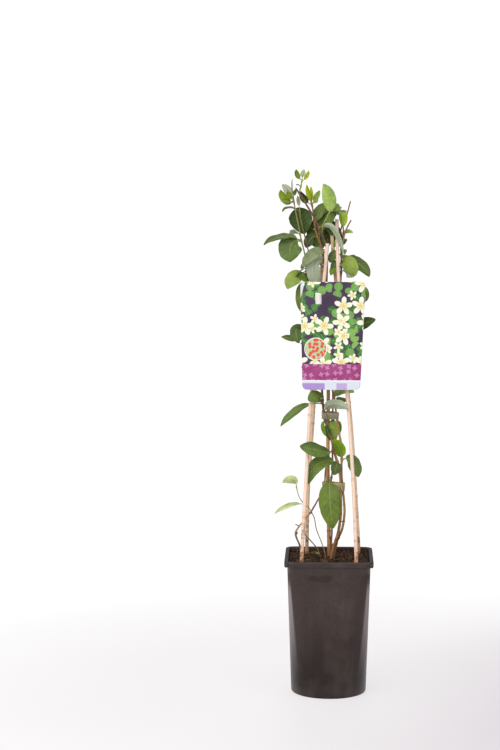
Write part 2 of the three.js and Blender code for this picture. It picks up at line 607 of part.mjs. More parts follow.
// What a cane or stem takes out of the soil: its own shape and a little room.
function stemHole(stem, sides, step) {
  return solidOf(taperedTube(curveThrough(stem.points), stem.radii, sides, step, CLEARANCE));
}

// ---------------------------------------------------------------- ties and label

// The outline of a cord drawn tight round some circles, as a ring of points.
function tightLoop(circles, grow) {
  const points = [];
  for (const [x, y, radius] of circles) {
    for (let k = 0; k < TAPE_TURN_SIDES; k += 1) {
      const angle = (2 * Math.PI * k) / TAPE_TURN_SIDES;
      points.push([x + (radius + grow) * Math.cos(angle), y + (radius + grow) * Math.sin(angle)]);
    }
  }
  points.sort((a, b) => a[0] - b[0] || a[1] - b[1]);
  const half = (list) => {
    const chain = [];
    for (const point of list) {
      while (chain.length > 1 && turn(chain.at(-2), chain.at(-1), point) <= 0) {
        chain.pop();
      }
      chain.push(point);
    }
    return chain.slice(0, -1);
  };
  return [...half(points), ...half(points.reverse())].map((p) => new THREE.Vector2(...p));
}

// Above zero where the way from a through b to c turns left.
function turn(a, b, c) {
  return (b[0] - a[0]) * (c[1] - a[1]) - (b[1] - a[1]) * (c[0] - a[0]);
}

// A band of tape round everything listed, wide enough for the lean of each stem in it.
function tieGeometry(held, [bottom, top]) {
  const heights = [bottom, (bottom + top) / 2, top];
  const circles = held.flatMap(({ curve, radii }) => heights.map((z) => {
    const point = pointAtHeight(curve, z);
    const foot = curve.points[0].z;
    const share = (z - foot) / (curve.points.at(-1).z - foot);
    return [point.x, point.y, THREE.MathUtils.lerp(radii[0], radii[1], share)];
  }));
  const outline = new THREE.Shape(tightLoop(circles, CLEARANCE + TAPE_THICKNESS));
  outline.holes.push(new THREE.Path(tightLoop(circles, CLEARANCE)));
  const band = new THREE.ExtrudeGeometry(outline, { depth: top - bottom, bevelEnabled: false });
  band.translate(0, 0, bottom);
  return band;
}

// The card, curled back at its top left corner, with the slits round its tongue and its strap.
function labelSolid() {
  const height = LABEL_TOP_Z - LABEL_BOTTOM_Z;
  const cornerSteps = [0, 0.3 * LABEL_CORNER, LABEL_CORNER];
  const drops = [...cornerSteps, 0.3 * height, 0.5 * height, 0.7 * height,
    ...cornerSteps.map((step) => height - step).reverse()];
  const rows = drops.map((drop) => {
    const down = drop / height;
    const toEdge = Math.min(drop, height - drop, LABEL_CORNER);
    const cut = LABEL_CORNER - Math.sqrt(LABEL_CORNER ** 2 - (LABEL_CORNER - toEdge) ** 2);
    const half = THREE.MathUtils.lerp(LABEL_TOP_HALF_WIDTH, LABEL_BOTTOM_HALF_WIDTH, down) - cut;
    return LABEL_SHARES.map((share) => {
      const curl = LABEL_CURL * (1 - down) * Math.max(0, -share - LABEL_FLAT_SHARE) ** 2;
      const y = THREE.MathUtils.lerp(LABEL_TOP_Y, LABEL_BOTTOM_Y, down) + curl;
      const x = THREE.MathUtils.lerp(LABEL_TOP_X, LABEL_BOTTOM_X, down) + share * half;
      return new THREE.Vector3(x, y, LABEL_TOP_Z - drop);
    });
  });
  const forward = new THREE.Vector3(0, -1, 0);
  const normals = rows.map((row) => row.map(() => forward));
  const card = solidOf(sheet(rows, normals, rows.map(() => LABEL_THICKNESS)));
  const { x, z, width, height: tall, slit } = TONGUE;
  const cutDepth = LABEL_TOP_Y - LABEL_BOTTOM_Y;
  const cuts = [
    blockSolid([x - width / 2, LABEL_TOP_Y, z], [slit, cutDepth, tall]),
    blockSolid([x + width / 2, LABEL_TOP_Y, z], [slit, cutDepth, tall]),
    blockSolid([x, LABEL_TOP_Y, z + tall / 2], [width + slit, cutDepth, slit]),
  ];
  const cut = cuts.reduce((solid, cutter) => solid.subtract(cutter), card);
  return cut.add(strapSolid());
}

// The strap runs back from the card over the top tie and folds down behind it.
function strapSolid() {
  const cardFace = THREE.MathUtils.mapLinear(STRAP.z, LABEL_BOTTOM_Z, LABEL_TOP_Z,
    LABEL_BOTTOM_Y, LABEL_TOP_Y);
  const front = cardFace + LABEL_THICKNESS / 2;
  const over = blockSolid([STRAP.x, (front + STRAP.back) / 2, STRAP.z],
    [STRAP.width, STRAP.back - front, LABEL_THICKNESS]);
  const down = blockSolid(
    [STRAP.x, STRAP.back - LABEL_THICKNESS / 2, STRAP.z + LABEL_THICKNESS / 2 - STRAP.drop / 2],
    [STRAP.width, LABEL_THICKNESS, STRAP.drop],
  );
  return over.add(down);
}

// ---------------------------------------------------------------- the whole plant

const plant = new THREE.Group();

function place(name, geometry, finish) {
  const material = new THREE.MeshStandardMaterial({ ...COLOURS[finish], metalness: 0 });
  material.name = finish;
  const mesh = new THREE.Mesh(geometry, material);
  mesh.name = name;
  plant.add(mesh);
}

const caneRadii = [CANE_BASE_RADIUS, CANE_TOP_RADIUS];
const caneHoles = Object.values(CANES).map((points) =>
  stemHole({ points, radii: caneRadii }, CANE_SIDES, CANE_STEP));
const vineHoles = Object.values(VINES).map((vine) =>
  stemHole(vine.stems.main, STEM_SIDES, STEM_STEP));

place("pot", geometryOf(potSolid()), "potPlastic");
place("soil", geometryOf(soilSolid([...caneHoles, ...vineHoles])), "soil");
for (const [name, points] of Object.entries(CANES)) {
  place(name, taperedTube(curveThrough(points), caneRadii, CANE_SIDES, CANE_STEP), "bamboo");
}
for (const [name, vine] of Object.entries(VINES)) {
  place(name, geometryOf(vineSolid(vine)), vine.material);
}

const held = (name) => {
  const stem = CANES[name] ? { points: CANES[name], radii: caneRadii } : VINES[name].stems.main;
  return { curve: curveThrough(stem.points), radii: stem.radii };
};
const lowBundle = ["cane_centre", "vine_front", "vine_right", "vine_middle", "vine_left"];
const topBundle = ["cane_front_left", "cane_front_right", "cane_back_left", "cane_back_right",
  "vine_front", "vine_middle", "vine_right"];
place("tie_lower", tieGeometry(lowBundle.map(held), LOWER_TIE_Z), "tape");
place("tie_upper", tieGeometry(lowBundle.map(held), UPPER_TIE_Z), "tape");
place("tie_top", tieGeometry(topBundle.map(held), TOP_TIE_Z), "tape");
place("label", geometryOf(labelSolid()), "labelCard");

export default plant;
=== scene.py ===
# %% [markdown]
# # A young honeysuckle in its pot
# The plant stands in a deep nursery pot, square at the rim and round at the foot. Its thin stems climb
# a wigwam of bamboo canes, bands of tape hold them to a short cane in the middle, and a printed card
# hangs in front. The plain solids of all this are loaded first. Each piece below is modelled finer,
# takes the place of one solid, and stays where that solid is.

# %% Load the plain solids
import math
import bpy
import numpy as np
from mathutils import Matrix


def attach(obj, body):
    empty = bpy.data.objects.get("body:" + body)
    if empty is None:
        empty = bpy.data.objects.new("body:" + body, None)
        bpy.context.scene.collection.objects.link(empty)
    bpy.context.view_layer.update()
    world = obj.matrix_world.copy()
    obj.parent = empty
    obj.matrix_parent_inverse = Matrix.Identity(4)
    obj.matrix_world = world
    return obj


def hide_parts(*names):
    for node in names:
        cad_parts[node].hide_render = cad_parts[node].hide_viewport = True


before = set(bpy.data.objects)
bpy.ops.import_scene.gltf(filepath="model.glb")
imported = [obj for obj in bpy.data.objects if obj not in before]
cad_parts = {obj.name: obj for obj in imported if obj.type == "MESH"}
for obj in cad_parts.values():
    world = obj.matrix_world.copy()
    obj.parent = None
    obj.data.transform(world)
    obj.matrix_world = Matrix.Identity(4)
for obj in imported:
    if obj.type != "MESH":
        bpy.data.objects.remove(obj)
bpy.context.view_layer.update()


# %% [markdown]
# ## Units and colours
# A plant is easiest to describe in millimetres, so every list here is in millimetres and is turned into
# Blender's metres only when a mesh is made. A paint chart gives everyday colours from 0 to 255, while a
# shader works with linear light, so one small function turns the first into the second.

# %% Units, colours and seeded chance
MM = 0.001
ANY_ANGLE = 6.28
chance = np.random.default_rng(11)


def srgb(red, green, blue):
    """An everyday colour as the linear red, green, blue and alpha of a shader."""
    def linear(level):
        level = level / 255
        return level / 12.92 if level <= 0.04045 else ((level + 0.055) / 1.055) ** 2.4
    return (linear(red), linear(green), linear(blue), 1.0)


def unit(vectors):
    """The vectors at length 1."""
    return vectors / np.linalg.norm(vectors, axis=-1, keepdims=True)


# Named tones: of leaves from old to newly opened, of silvery and blushed ones, and of stems.
TONES = {
    "deep": srgb(50, 72, 16), "shaded": srgb(96, 88, 16), "dark": srgb(68, 90, 32),
    "mid": srgb(86, 110, 37), "olive": srgb(96, 118, 41), "soft": srgb(88, 112, 51),
    "fresh": srgb(126, 148, 60), "vivid": srgb(132, 156, 24), "lush": srgb(114, 150, 10),
    "bright": srgb(104, 140, 4), "lime": srgb(178, 188, 10), "light": srgb(154, 182, 96),
    "grey": srgb(124, 136, 104), "pale": srgb(174, 187, 142), "blush": srgb(140, 128, 84),
    "umber": srgb(98, 68, 46), "brown": srgb(142, 98, 58), "straw": srgb(190, 146, 96),
    "plum": srgb(98, 66, 62), "mauve": srgb(146, 108, 96), "rust": srgb(156, 102, 64),
    "red": srgb(140, 76, 58), "shoot": srgb(132, 144, 60),
}
print("tones:", len(TONES))

# %% [markdown]
# ## Meshes from many small forms
# A leafy stem is one thing to look at, but it is made of hundreds of small forms: blades, stalks, buds
# and flakes of bark. Making an object of each would be slow and untidy. Instead, each form adds its
# points and faces to a gathering, with values such as its colour kept on the points, and the gathering
# becomes one mesh at the end.

# %% Gather forms into one mesh
class Gathered:
    """Points and faces of many forms, with values on each point, to be made into one mesh."""

    def __init__(self, **widths):
        self.widths = widths
        self.values = {name: [] for name in widths}
        self.points = []
        self.faces = []
        self.finishes = []
        self.count = 0

    def add(self, points, faces, finish=0, **values):
        """Adds a form. A value, or a finish, is one for the whole form or one for each point or face."""
        points = np.asarray(points, float).reshape(-1, 3)
        for name, width in self.widths.items():
            value = np.asarray(values.get(name, 0.0), float)
            self.values[name].append(np.broadcast_to(value.reshape(-1, width), (len(points), width)))
        self.points.append(points)
        self.faces += [[corner + self.count for corner in face] for face in faces]
        self.finishes += np.broadcast_to(finish, len(faces)).tolist()
        self.count += len(points)

    def build(self, name, materials):
        """Makes the gathered forms one smooth object, in metres."""
        mesh = bpy.data.meshes.new(name)
        mesh.from_pydata((np.concatenate(self.points) * MM).tolist(), [], self.faces)
        for material in materials:
            mesh.materials.append(material)
        mesh.polygons.foreach_set("material_index", self.finishes)
        for key, arrays in self.values.items():
            kind, field = ("FLOAT", "value") if self.widths[key] == 1 else ("FLOAT_VECTOR", "vector")
            layer = mesh.attributes.new(key, kind, "POINT")
            layer.data.foreach_set(field, np.concatenate(arrays).ravel())
        mesh.shade_smooth()
        piece = bpy.data.objects.new(name, mesh)
        bpy.context.scene.collection.objects.link(piece)
        triangles = sum(len(face) - 2 for face in self.faces)
        print(f"{name}: {triangles} triangles")
        return piece


def settle(piece, material_slot, *nodes):
    """The piece takes the place of these solids and moves with the plant's one body."""
    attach(piece, "root")
    if nodes:
        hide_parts(*nodes)

# %% [markdown]
# ## Lines and tubes
# Canes and stems are smooth curves through a few points, given in the order in which they grow. A
# centripetal curve passes through every point and never loops back, however unevenly they are spaced.
# A tube is then rings round that curve. Each ring turns only as much as the curve bends, so that the
# grain of the bark doesn't twist.

# %% Smooth lines
def along_path(points, places):
    """Points of the smooth curve through a list, at places from 0 to 1."""
    points = np.asarray(points, float)
    ends = np.vstack([2 * points[0] - points[1], points, 2 * points[-1] - points[-2]])
    spot = np.clip(places, 0, 1) * (len(points) - 1)
    first = np.minimum(spot.astype(int), len(points) - 2)
    share = (spot - first)[:, None]
    a, b, c, d = (ends[first + k] for k in range(4))
    ab, bc, cd = (np.sqrt(np.linalg.norm(q - p, axis=1))[:, None] for p, q in ((a, b), (b, c), (c, d)))
    leave = ((b - a) / ab - (c - a) / (ab + bc) + (c - b) / bc) * bc
    arrive = ((c - b) / bc - (d - b) / (bc + cd) + (d - c) / cd) * bc
    return (b + share * leave + share ** 2 * (3 * (c - b) - 2 * leave - arrive)
            + share ** 3 * (2 * (b - c) + leave + arrive))


def smooth_line(points, step):
    """Evenly spaced points of the curve, and the place of each from 0 to 1."""
    places = np.linspace(0, 1, (len(points) - 1) * 24 + 1)
    dense = along_path(points, places)
    run = np.concatenate([[0], np.cumsum(np.linalg.norm(np.diff(dense, axis=0), axis=1))])
    spots = np.linspace(0, run[-1], max(int(run[-1] / step), 2) + 1)
    line = np.column_stack([np.interp(spots, run, dense[:, axis]) for axis in range(3)])
    return line, np.interp(spots, run, places)


def point_at_height(points, height):
    """Where the curve first reaches a height, and its direction there."""
    line = along_path(points, np.linspace(0, 1, 401))
    above = next((i for i in range(1, len(line)) if line[i, 2] >= height), len(line) - 1)
    low, high = line[above - 1], line[above]
    share = min(max((height - low[2]) / max(high[2] - low[2], 1e-6), 0), 1)
    return low + share * (high - low), unit(high - low)

# %% Rings and tubes
def ring_stack(line, radii, sides):
    """Rings of points round a line. The radius may differ at each ring and each side."""
    along = unit(np.gradient(line, axis=0))
    radii = np.asarray(radii, float)
    radii = np.broadcast_to(radii[:, None] if radii.ndim == 1 else radii, (len(line), sides))
    angles = 2 * np.pi * np.arange(sides) / sides
    across = np.array([1.0, 0.0, 0.0]) if abs(along[0, 0]) < 0.9 else np.array([0.0, 1.0, 0.0])
    stack = np.empty((len(line), sides, 3))
    for i, direction in enumerate(along):
        across = unit(across - direction * (across @ direction))
        third = np.cross(direction, across)
        turn = np.outer(np.cos(angles), across) + np.outer(np.sin(angles), third)
        stack[i] = line[i] + radii[i][:, None] * turn
    return stack


def skin(stack):
    """The points and faces that close a stack of rings into a solid form."""
    rings, sides = stack.shape[:2]
    points = np.vstack([stack.reshape(-1, 3), stack[0].mean(0), stack[-1].mean(0)])
    start, end, last = rings * sides, rings * sides + 1, (rings - 1) * sides
    faces = []
    for i in range(rings - 1):
        for j in range(sides):
            a, b = i * sides + j, i * sides + (j + 1) % sides
            faces.append([a, b, b + sides, a + sides])
    for j in range(sides):
        faces.append([start, (j + 1) % sides, j])
        faces.append([end, last + j, last + (j + 1) % sides])
    return points, faces


def sheet_faces(rows, columns):
    """The faces of a thin sheet whose two sides are grids of points: those of one side, and its edge."""
    count = rows * columns
    grid = np.arange(count).reshape(rows, columns)
    side = np.stack([grid[:-1, :-1], grid[:-1, 1:], grid[1:, 1:], grid[1:, :-1]], -1).reshape(-1, 4)
    loop = np.concatenate([grid[0, :-1], grid[:-1, -1], grid[-1, :0:-1], grid[:0:-1, 0]])
    after = np.roll(loop, -1)
    return side, np.stack([after, loop, loop + count, after + count], -1)


def per_ring(values, sides):
    """One value for each ring, repeated for its points and the two middles of the ends."""
    values = np.asarray(values, float)
    return np.concatenate([np.repeat(values, sides, axis=0), values[:1], values[-1:]])

# %% [markdown]
# ## Small helpers for materials
# A material is a graph of nodes. Written out in full, a graph hides what it does behind long lines, so
# small helpers add a node, do sums with numbers, vectors and colours, and read a point's place or the
# values that its mesh keeps. The Principled shader of each material keeps its constant settings on its
# own sockets.

# %% Node helpers
def add_node(tree, kind, inputs=None, **fields):
    """Adds a node, with each input set to a value or linked to a socket."""
    made = tree.nodes.new(kind)
    for field, value in fields.items():
        setattr(made, field, value)
    for key, value in (inputs or {}).items():
        if isinstance(value, bpy.types.NodeSocket):
            tree.links.new(value, made.inputs[key])
        else:
            made.inputs[key].default_value = value
    return made


def calc(tree, operation, *values, clamp=False):
    """The result of a Math node."""
    return add_node(tree, "ShaderNodeMath", dict(enumerate(values)), operation=operation,
                    use_clamp=clamp).outputs[0]


def times(tree, *factors):
    """The product of two or more values."""
    product = factors[0]
    for factor in factors[1:]:
        product = calc(tree, "MULTIPLY", product, factor)
    return product


def scale_add(tree, value, factor, extra):
    """A value multiplied by a factor, plus something extra."""
    return calc(tree, "MULTIPLY_ADD", value, factor, extra)


def vector_calc(tree, operation, *values):
    """The result of a Vector Math node: a number for a length or a dot product, else a vector."""
    made = add_node(tree, "ShaderNodeVectorMath", dict(enumerate(values)), operation=operation)
    return made.outputs["Value" if operation in ("LENGTH", "DOT_PRODUCT") else "Vector"]


def split(tree, vector):
    """The X, Y and Z of a vector."""
    return add_node(tree, "ShaderNodeSeparateXYZ", {0: vector}).outputs


def position(tree):
    """The place of a point of the piece, in metres."""
    return add_node(tree, "ShaderNodeTexCoord").outputs["Object"]


def kept(tree, name, form="Color"):
    """A value that was kept on the points of the mesh."""
    return add_node(tree, "ShaderNodeAttribute", attribute_name=name).outputs[form]


def mix(tree, share, first, second, blend="MIX"):
    """The colour between two, by a share from 0 to 1."""
    made = add_node(tree, "ShaderNodeMix", {"Factor": share}, data_type="RGBA", blend_type=blend)
    for socket, value in ((made.inputs[6], first), (made.inputs[7], second)):
        if isinstance(value, bpy.types.NodeSocket):
            tree.links.new(value, socket)
        else:
            socket.default_value = value
    return made.outputs[2]


def multiplied(tree, colour, red, green, blue):
    """A colour with each of its three parts multiplied."""
    return mix(tree, 1.0, colour, (red, green, blue, 1), blend="MULTIPLY")


def ramp(tree, value, low, high):
    """0 below low and 1 above high, smooth between them."""
    made = add_node(tree, "ShaderNodeMapRange", {"Value": value, "From Min": low, "From Max": high},
                    interpolation_type="SMOOTHSTEP")
    return made.outputs["Result"]


def new_material(name, **settings):
    """A material with one Principled shader, whose named settings are constants."""
    material = bpy.data.materials.new(name)
    material.use_nodes = True
    shader = material.node_tree.nodes["Principled BSDF"]
    for setting, value in settings.items():
        shader.inputs[setting.replace("_", " ")].default_value = value
    return material, material.node_tree, shader


def wire(tree, shader, colour, roughness, height, depth):
    """Feeds a shader its colour, its roughness and a bump of a given depth in metres."""
    tree.links.new(colour, shader.inputs["Base Color"])
    tree.links.new(roughness, shader.inputs["Roughness"])
    bump = add_node(tree, "ShaderNodeBump", {"Height": height, "Distance": depth, "Strength": 1.0})
    tree.links.new(bump.outputs[0], shader.inputs["Normal"])

# %% [markdown]
# ## Effects that several materials share
# Bamboo, bark and leaf stalks all show long streaks, and nearly every surface here is a little uneven in
# colour. Each such effect is built once as a node group with named inputs, and each material places it
# with values of its own. A group puts out masks only, so that every material decides what they mean.

# %% Group helpers
def new_group(name, inputs, outputs):
    """An empty shader group with float or vector inputs and float outputs."""
    tree = bpy.data.node_groups.new(name, "ShaderNodeTree")
    for label, default in inputs.items():
        kind = "NodeSocketVector" if default is None else "NodeSocketFloat"
        socket = tree.interface.new_socket(name=label, in_out="INPUT", socket_type=kind)
        if default is not None:
            socket.default_value = default
    for label in outputs:
        tree.interface.new_socket(name=label, in_out="OUTPUT", socket_type="NodeSocketFloat")
    return tree, tree.nodes.new("NodeGroupInput").outputs, tree.nodes.new("NodeGroupOutput").inputs


def place_group(tree, group, **inputs):
    """Places a group in a material, with inputs named in lower case."""
    made = add_node(tree, "ShaderNodeGroup", node_tree=group)
    for key, value in inputs.items():
        socket = made.inputs[key.replace("_", " ").title()]
        if isinstance(value, bpy.types.NodeSocket):
            tree.links.new(value, socket)
        else:
            socket.default_value = value
    return made.outputs

# %% Mottle: uneven colour at two sizes
mottle, given, result = new_group("mottle", {"Place": None, "Size": 300.0, "Seed": 0.0},
                                  ["Broad", "Fine"])
coarse_size = times(mottle, given["Size"], 0.14)
for label, size in (("Broad", coarse_size), ("Fine", given["Size"])):
    cloud = add_node(mottle, "ShaderNodeTexNoise",
                     {"Vector": given["Place"], "W": given["Seed"], "Scale": size, "Detail": 3.0,
                      "Roughness": 0.55}, noise_dimensions="4D")
    mottle.links.new(ramp(mottle, cloud.outputs["Fac"], 0.3, 0.7), result[label])


def mottled(tree, where, size, seed):
    """The shared mottle, placed in a material."""
    return place_group(tree, mottle, place=where, size=size, seed=seed)

# %% Streaks: fibres that run up a stem or cane
streaks, given, result = new_group("streaks", {"Place": None, "Fineness": 900.0, "Stretch": 0.03},
                                   ["Fibres", "Bands"])
squeeze = add_node(streaks, "ShaderNodeCombineXYZ", {"X": 1.0, "Y": 1.0, "Z": given["Stretch"]})
drawn = vector_calc(streaks, "MULTIPLY", given["Place"], squeeze.outputs[0])
broad_fibres = times(streaks, given["Fineness"], 0.25)
for label, size in (("Fibres", given["Fineness"]), ("Bands", broad_fibres)):
    fibre = add_node(streaks, "ShaderNodeTexNoise",
                     {"Vector": drawn, "Scale": size, "Detail": 2.0, "Roughness": 0.6})
    streaks.links.new(ramp(streaks, fibre.outputs["Fac"], 0.32, 0.68), result[label])
print("groups:", [group.name for group in bpy.data.node_groups])

# %% [markdown]
# ## The camera, the floor and the light
# The plant is seen from three metres away at the height of its top leaves, looking slightly down, as a
# nursery shows its stock. The studio is plain: a pale floor that fades into white, white walls all
# round that give the soft light, a large lamp high in front at the left, a weaker one at the right,
# and one behind that lights the edges of the leaves. The floor is painted a little darker to the right,
# as painted shade where the light falls off.

# %% Camera
CAMERA_PLACE = (0.0, -3.0, 0.790)
CAMERA_DOWN = math.radians(5.6)
CAMERA_LEFT = math.radians(2.35)
CAMERA_LENS = 93.6

camera = bpy.data.objects.new("camera", bpy.data.cameras.new("camera"))
camera.location = CAMERA_PLACE
camera.rotation_euler = (math.radians(90) - CAMERA_DOWN, 0, CAMERA_LEFT)
camera.data.lens = CAMERA_LENS
camera.data.sensor_width = 36
bpy.context.scene.collection.objects.link(camera)
bpy.context.scene.camera = camera
bpy.context.scene.view_settings.view_transform = "Standard"
bpy.context.scene.view_settings.look = "None"
print("camera at", CAMERA_PLACE)

# %% Floor
FLOOR_RADIUS = 8.0
FLOOR_SIDES = 64
FADE_FROM, FADE_TO = 0.25, 1.05
DIMMER_WAY = (0.95, -0.3, 0.0)
DIM_FROM, DIM_TO = -0.05, 0.5
FLOOR_GLOW = 1.13

floor_mesh = bpy.data.meshes.new("floor")
around = [2 * math.pi * k / FLOOR_SIDES for k in range(FLOOR_SIDES)]
floor_mesh.from_pydata([(FLOOR_RADIUS * math.cos(a), FLOOR_RADIUS * math.sin(a), 0) for a in around],
                       [], [list(range(FLOOR_SIDES))])
floor = bpy.data.objects.new("floor", floor_mesh)
bpy.context.scene.collection.objects.link(floor)

floor_paint, tree, shader = new_material("studio floor", Roughness=0.7)
where = position(tree)
fade = ramp(tree, vector_calc(tree, "LENGTH", where), FADE_FROM, FADE_TO)
cloud = add_node(tree, "ShaderNodeTexNoise", {"Vector": where, "Scale": 3.0}).outputs["Fac"]
paper = mix(tree, cloud, srgb(202, 200, 201), srgb(205, 202, 204))
towards_right = vector_calc(tree, "DOT_PRODUCT", where, DIMMER_WAY)
# Painted shade: the floor's colour, lit and glowing alike, is painted darker towards the right, where the
# light falls off.
floor_painted_shade = mix(tree, ramp(tree, towards_right, DIM_FROM, DIM_TO), paper, srgb(176, 171, 175))
tree.links.new(multiplied(tree, floor_painted_shade, 0.3, 0.3, 0.3), shader.inputs["Base Color"])
tree.links.new(floor_painted_shade, shader.inputs["Emission Color"])
shader.inputs["Emission Strength"].default_value = FLOOR_GLOW
see_through = add_node(tree, "ShaderNodeBsdfTransparent")
blend = add_node(tree, "ShaderNodeMixShader", {0: fade, 1: shader.outputs[0],
                                               2: see_through.outputs[0]})
tree.links.new(blend.outputs[0], tree.nodes["Material Output"].inputs[0])
floor_mesh.materials.append(floor_paint)

# %% Light
SEEN_WHITE = 1.05
LIGHT_BELOW, LIGHT_ABOVE = 0.1, 1.0
BRIGHTEST_WAY = (-0.38, -0.42, 0.82)
DARK_SIDE, BRIGHT_SIDE = -0.45, 0.95

world = bpy.data.worlds.new("white studio")
bpy.context.scene.world = world
world.use_nodes = True
room = world.node_tree
way = add_node(room, "ShaderNodeTexCoord").outputs["Generated"]
share = ramp(room, vector_calc(room, "DOT_PRODUCT", way, BRIGHTEST_WAY), DARK_SIDE, BRIGHT_SIDE)
soft_light = scale_add(room, share, LIGHT_ABOVE - LIGHT_BELOW, LIGHT_BELOW)
ray = add_node(room, "ShaderNodeLightPath").outputs["Is Camera Ray"]
seen = times(room, ray, SEEN_WHITE)
level = scale_add(room, calc(room, "SUBTRACT", 1.0, ray), soft_light, seen)
room.nodes["Background"].inputs["Color"].default_value = (1, 1, 1, 1)
room.links.new(level, room.nodes["Background"].inputs["Strength"])


LAMP_AIM = (0, 0, 0.4)


def lamp(name, place, size, watts):
    """A large soft square lamp, aimed at the plant."""
    light = bpy.data.lights.new(name, "AREA")
    light.size, light.energy = size, watts
    holder = bpy.data.objects.new(name, light)
    holder.location = place
    away = holder.location - type(holder.location)(LAMP_AIM)
    holder.rotation_euler = away.to_track_quat("Z", "Y").to_euler()
    bpy.context.scene.collection.objects.link(holder)


lamp("key", place=(-1.3, -2.4, 2.4), size=2.4, watts=51)
lamp("fill", place=(2.2, -1.6, 1.2), size=1.6, watts=16)
lamp("back", place=(0.4, 2.4, 2.2), size=1.8, watts=18)
print("room light from", LIGHT_BELOW, "to", LIGHT_ABOVE, "and lamps:", len(bpy.data.lights))

# %% [markdown]
# ## The pot
# A nursery pot is one thin moulded shell of recycled plastic, so it is nearly black with a warm cast, a
# little uneven, and satin where the mould was polished. Its outline changes from a round foot to a
# square rim. A box with bevels can't do that, so the shell is a loft: a stack of square rings whose
# corners get tighter with height. The rim's band, its rounded lip and the inside are further rings.

# %% Pot sizes
POT_HEIGHT = 215
RIM_HALF_WIDTH = 68.5
RIM_DEPTH = 8
BODY_TOP_HALF_WIDTH = 64
BODY_BASE_HALF_WIDTH = 58.4
TOP_CORNER_RADIUS = 9
POT_WALL = 1.6
POT_FLOOR = 2.4
FOOT_FILLET = 2.5
CORNER_STEPS = 14
EDGE_STEPS = 6
LUG_SIZE, LUG_DEPTH, LUG_PROUD = 6, 6, 1.5
DRAIN_HOLES, DRAIN_HOLE_RADIUS, DRAIN_RING_RADIUS = 8, 4.5, 40


def rounded_square(half, corner, z):
    """A square ring with round corners and a few points along each side, anticlockwise from above."""
    inset = half - corner
    ring = []
    middles = [(inset, inset), (-inset, inset), (-inset, -inset), (inset, -inset)]
    for quarter, (x, y) in enumerate(middles):
        angles = [(quarter + k / CORNER_STEPS) * math.pi / 2 for k in range(CORNER_STEPS + 1)]
        arc = [np.array([x + corner * math.cos(a), y + corner * math.sin(a), z]) for a in angles]
        next_arc = np.array([-arc[0][1], arc[0][0], z])
        ring += arc + [arc[-1] + (next_arc - arc[-1]) * k / EDGE_STEPS for k in range(1, EDGE_STEPS)]
    return np.array(ring)


def body_ring(z, inset=0.0):
    """The wall's outline at a height, moved in by an inset."""
    rise = z / POT_HEIGHT
    half = BODY_BASE_HALF_WIDTH + rise * (BODY_TOP_HALF_WIDTH - BODY_BASE_HALF_WIDTH)
    corner = BODY_BASE_HALF_WIDTH - 1 + rise * (TOP_CORNER_RADIUS - BODY_BASE_HALF_WIDTH + 1)
    return rounded_square(half - inset, max(corner - inset, 1.5), z)

# %% Pot mesh
UNDER_RIM = POT_HEIGHT - RIM_DEPTH
RIM_CORNER = TOP_CORNER_RADIUS + RIM_HALF_WIDTH - BODY_TOP_HALF_WIDTH
BAND_START, BAND_ROUND, BAND_DRAFT = 0.4, 0.8, 0.1
BAND_STRAIGHT = 4
LIP_ROUND = 1.3
FLOOR_EDGE = 2
FOOT_FLAT_INSET = 6
ROUND_STEPS = 4
WALL_STEPS, INSIDE_STEPS = 16, 10


def rim_ring(z, inset=0.0):
    """The rim band's outline at a height, moved in by an inset."""
    return rounded_square(RIM_HALF_WIDTH - inset, RIM_CORNER - inset, z)


def quarter_turns():
    """Shares of a rounded edge: how far in, and how far up, from its start to its end."""
    angles = np.linspace(0, math.pi / 2, ROUND_STEPS + 1)
    return [(math.sin(a), 1 - math.cos(a)) for a in angles]


pot_rings = [body_ring(0, FOOT_FILLET + FOOT_FLAT_INSET)]
pot_rings += [body_ring(FOOT_FILLET * up, FOOT_FILLET * (1 - out)) for out, up in quarter_turns()]
pot_rings += [body_ring(z) for z in np.linspace(FOOT_FILLET, UNDER_RIM, WALL_STEPS)[1:]]
pot_rings += [rim_ring(UNDER_RIM + BAND_START + BAND_ROUND * up, BAND_ROUND * (1 - out))
              for out, up in quarter_turns()]
pot_rings += [rim_ring(POT_HEIGHT - BAND_STRAIGHT, BAND_DRAFT)]
pot_rings += [rim_ring(POT_HEIGHT - LIP_ROUND * (1 - out), BAND_DRAFT + LIP_ROUND * up)
              for out, up in quarter_turns()]
pot_rings += [body_ring(POT_HEIGHT - LIP_ROUND * up, POT_WALL - LIP_ROUND * (1 - out))
              for out, up in quarter_turns()]
inside_heights = np.linspace(POT_HEIGHT - BAND_STRAIGHT, POT_FLOOR + FLOOR_EDGE, INSIDE_STEPS)
pot_rings += [body_ring(z, POT_WALL) for z in inside_heights]
pot_rings += [body_ring(POT_FLOOR, POT_WALL + FLOOR_EDGE)]

shell = Gathered()
shell.add(*skin(np.array(pot_rings)))
print("rings of the pot:", len(pot_rings))

# %% Lugs and drain holes
# Each level of a lug: its height above the rim's underside and how far it is moved in.
LUG_LEVELS = [(0, 0.9), (0.3, 0.3), (0.9, 0), (LUG_DEPTH - 0.6, 0), (LUG_DEPTH, 0.5)]
LUG_CORNER = 1.4
BORE_HEIGHTS = (-5.0, 0.0, 6.0)
BORE_SIDES = 24


def lug(x, y):
    """A small block with rounded edges at a corner of the rim."""
    rings = [rounded_square(LUG_SIZE / 2 - inset, LUG_CORNER - inset / 2, UNDER_RIM + rise)
             for rise, inset in LUG_LEVELS]
    return skin(np.array(rings) + [x, y, 0])


LUG_MIDDLE = RIM_HALF_WIDTH - LUG_SIZE / 2 + LUG_PROUD - TOP_CORNER_RADIUS / 4
lugs = Gathered()
for x_side, y_side in [(1, 1), (-1, 1), (-1, -1), (1, -1)]:
    lugs.add(*lug(x_side * LUG_MIDDLE, y_side * LUG_MIDDLE))

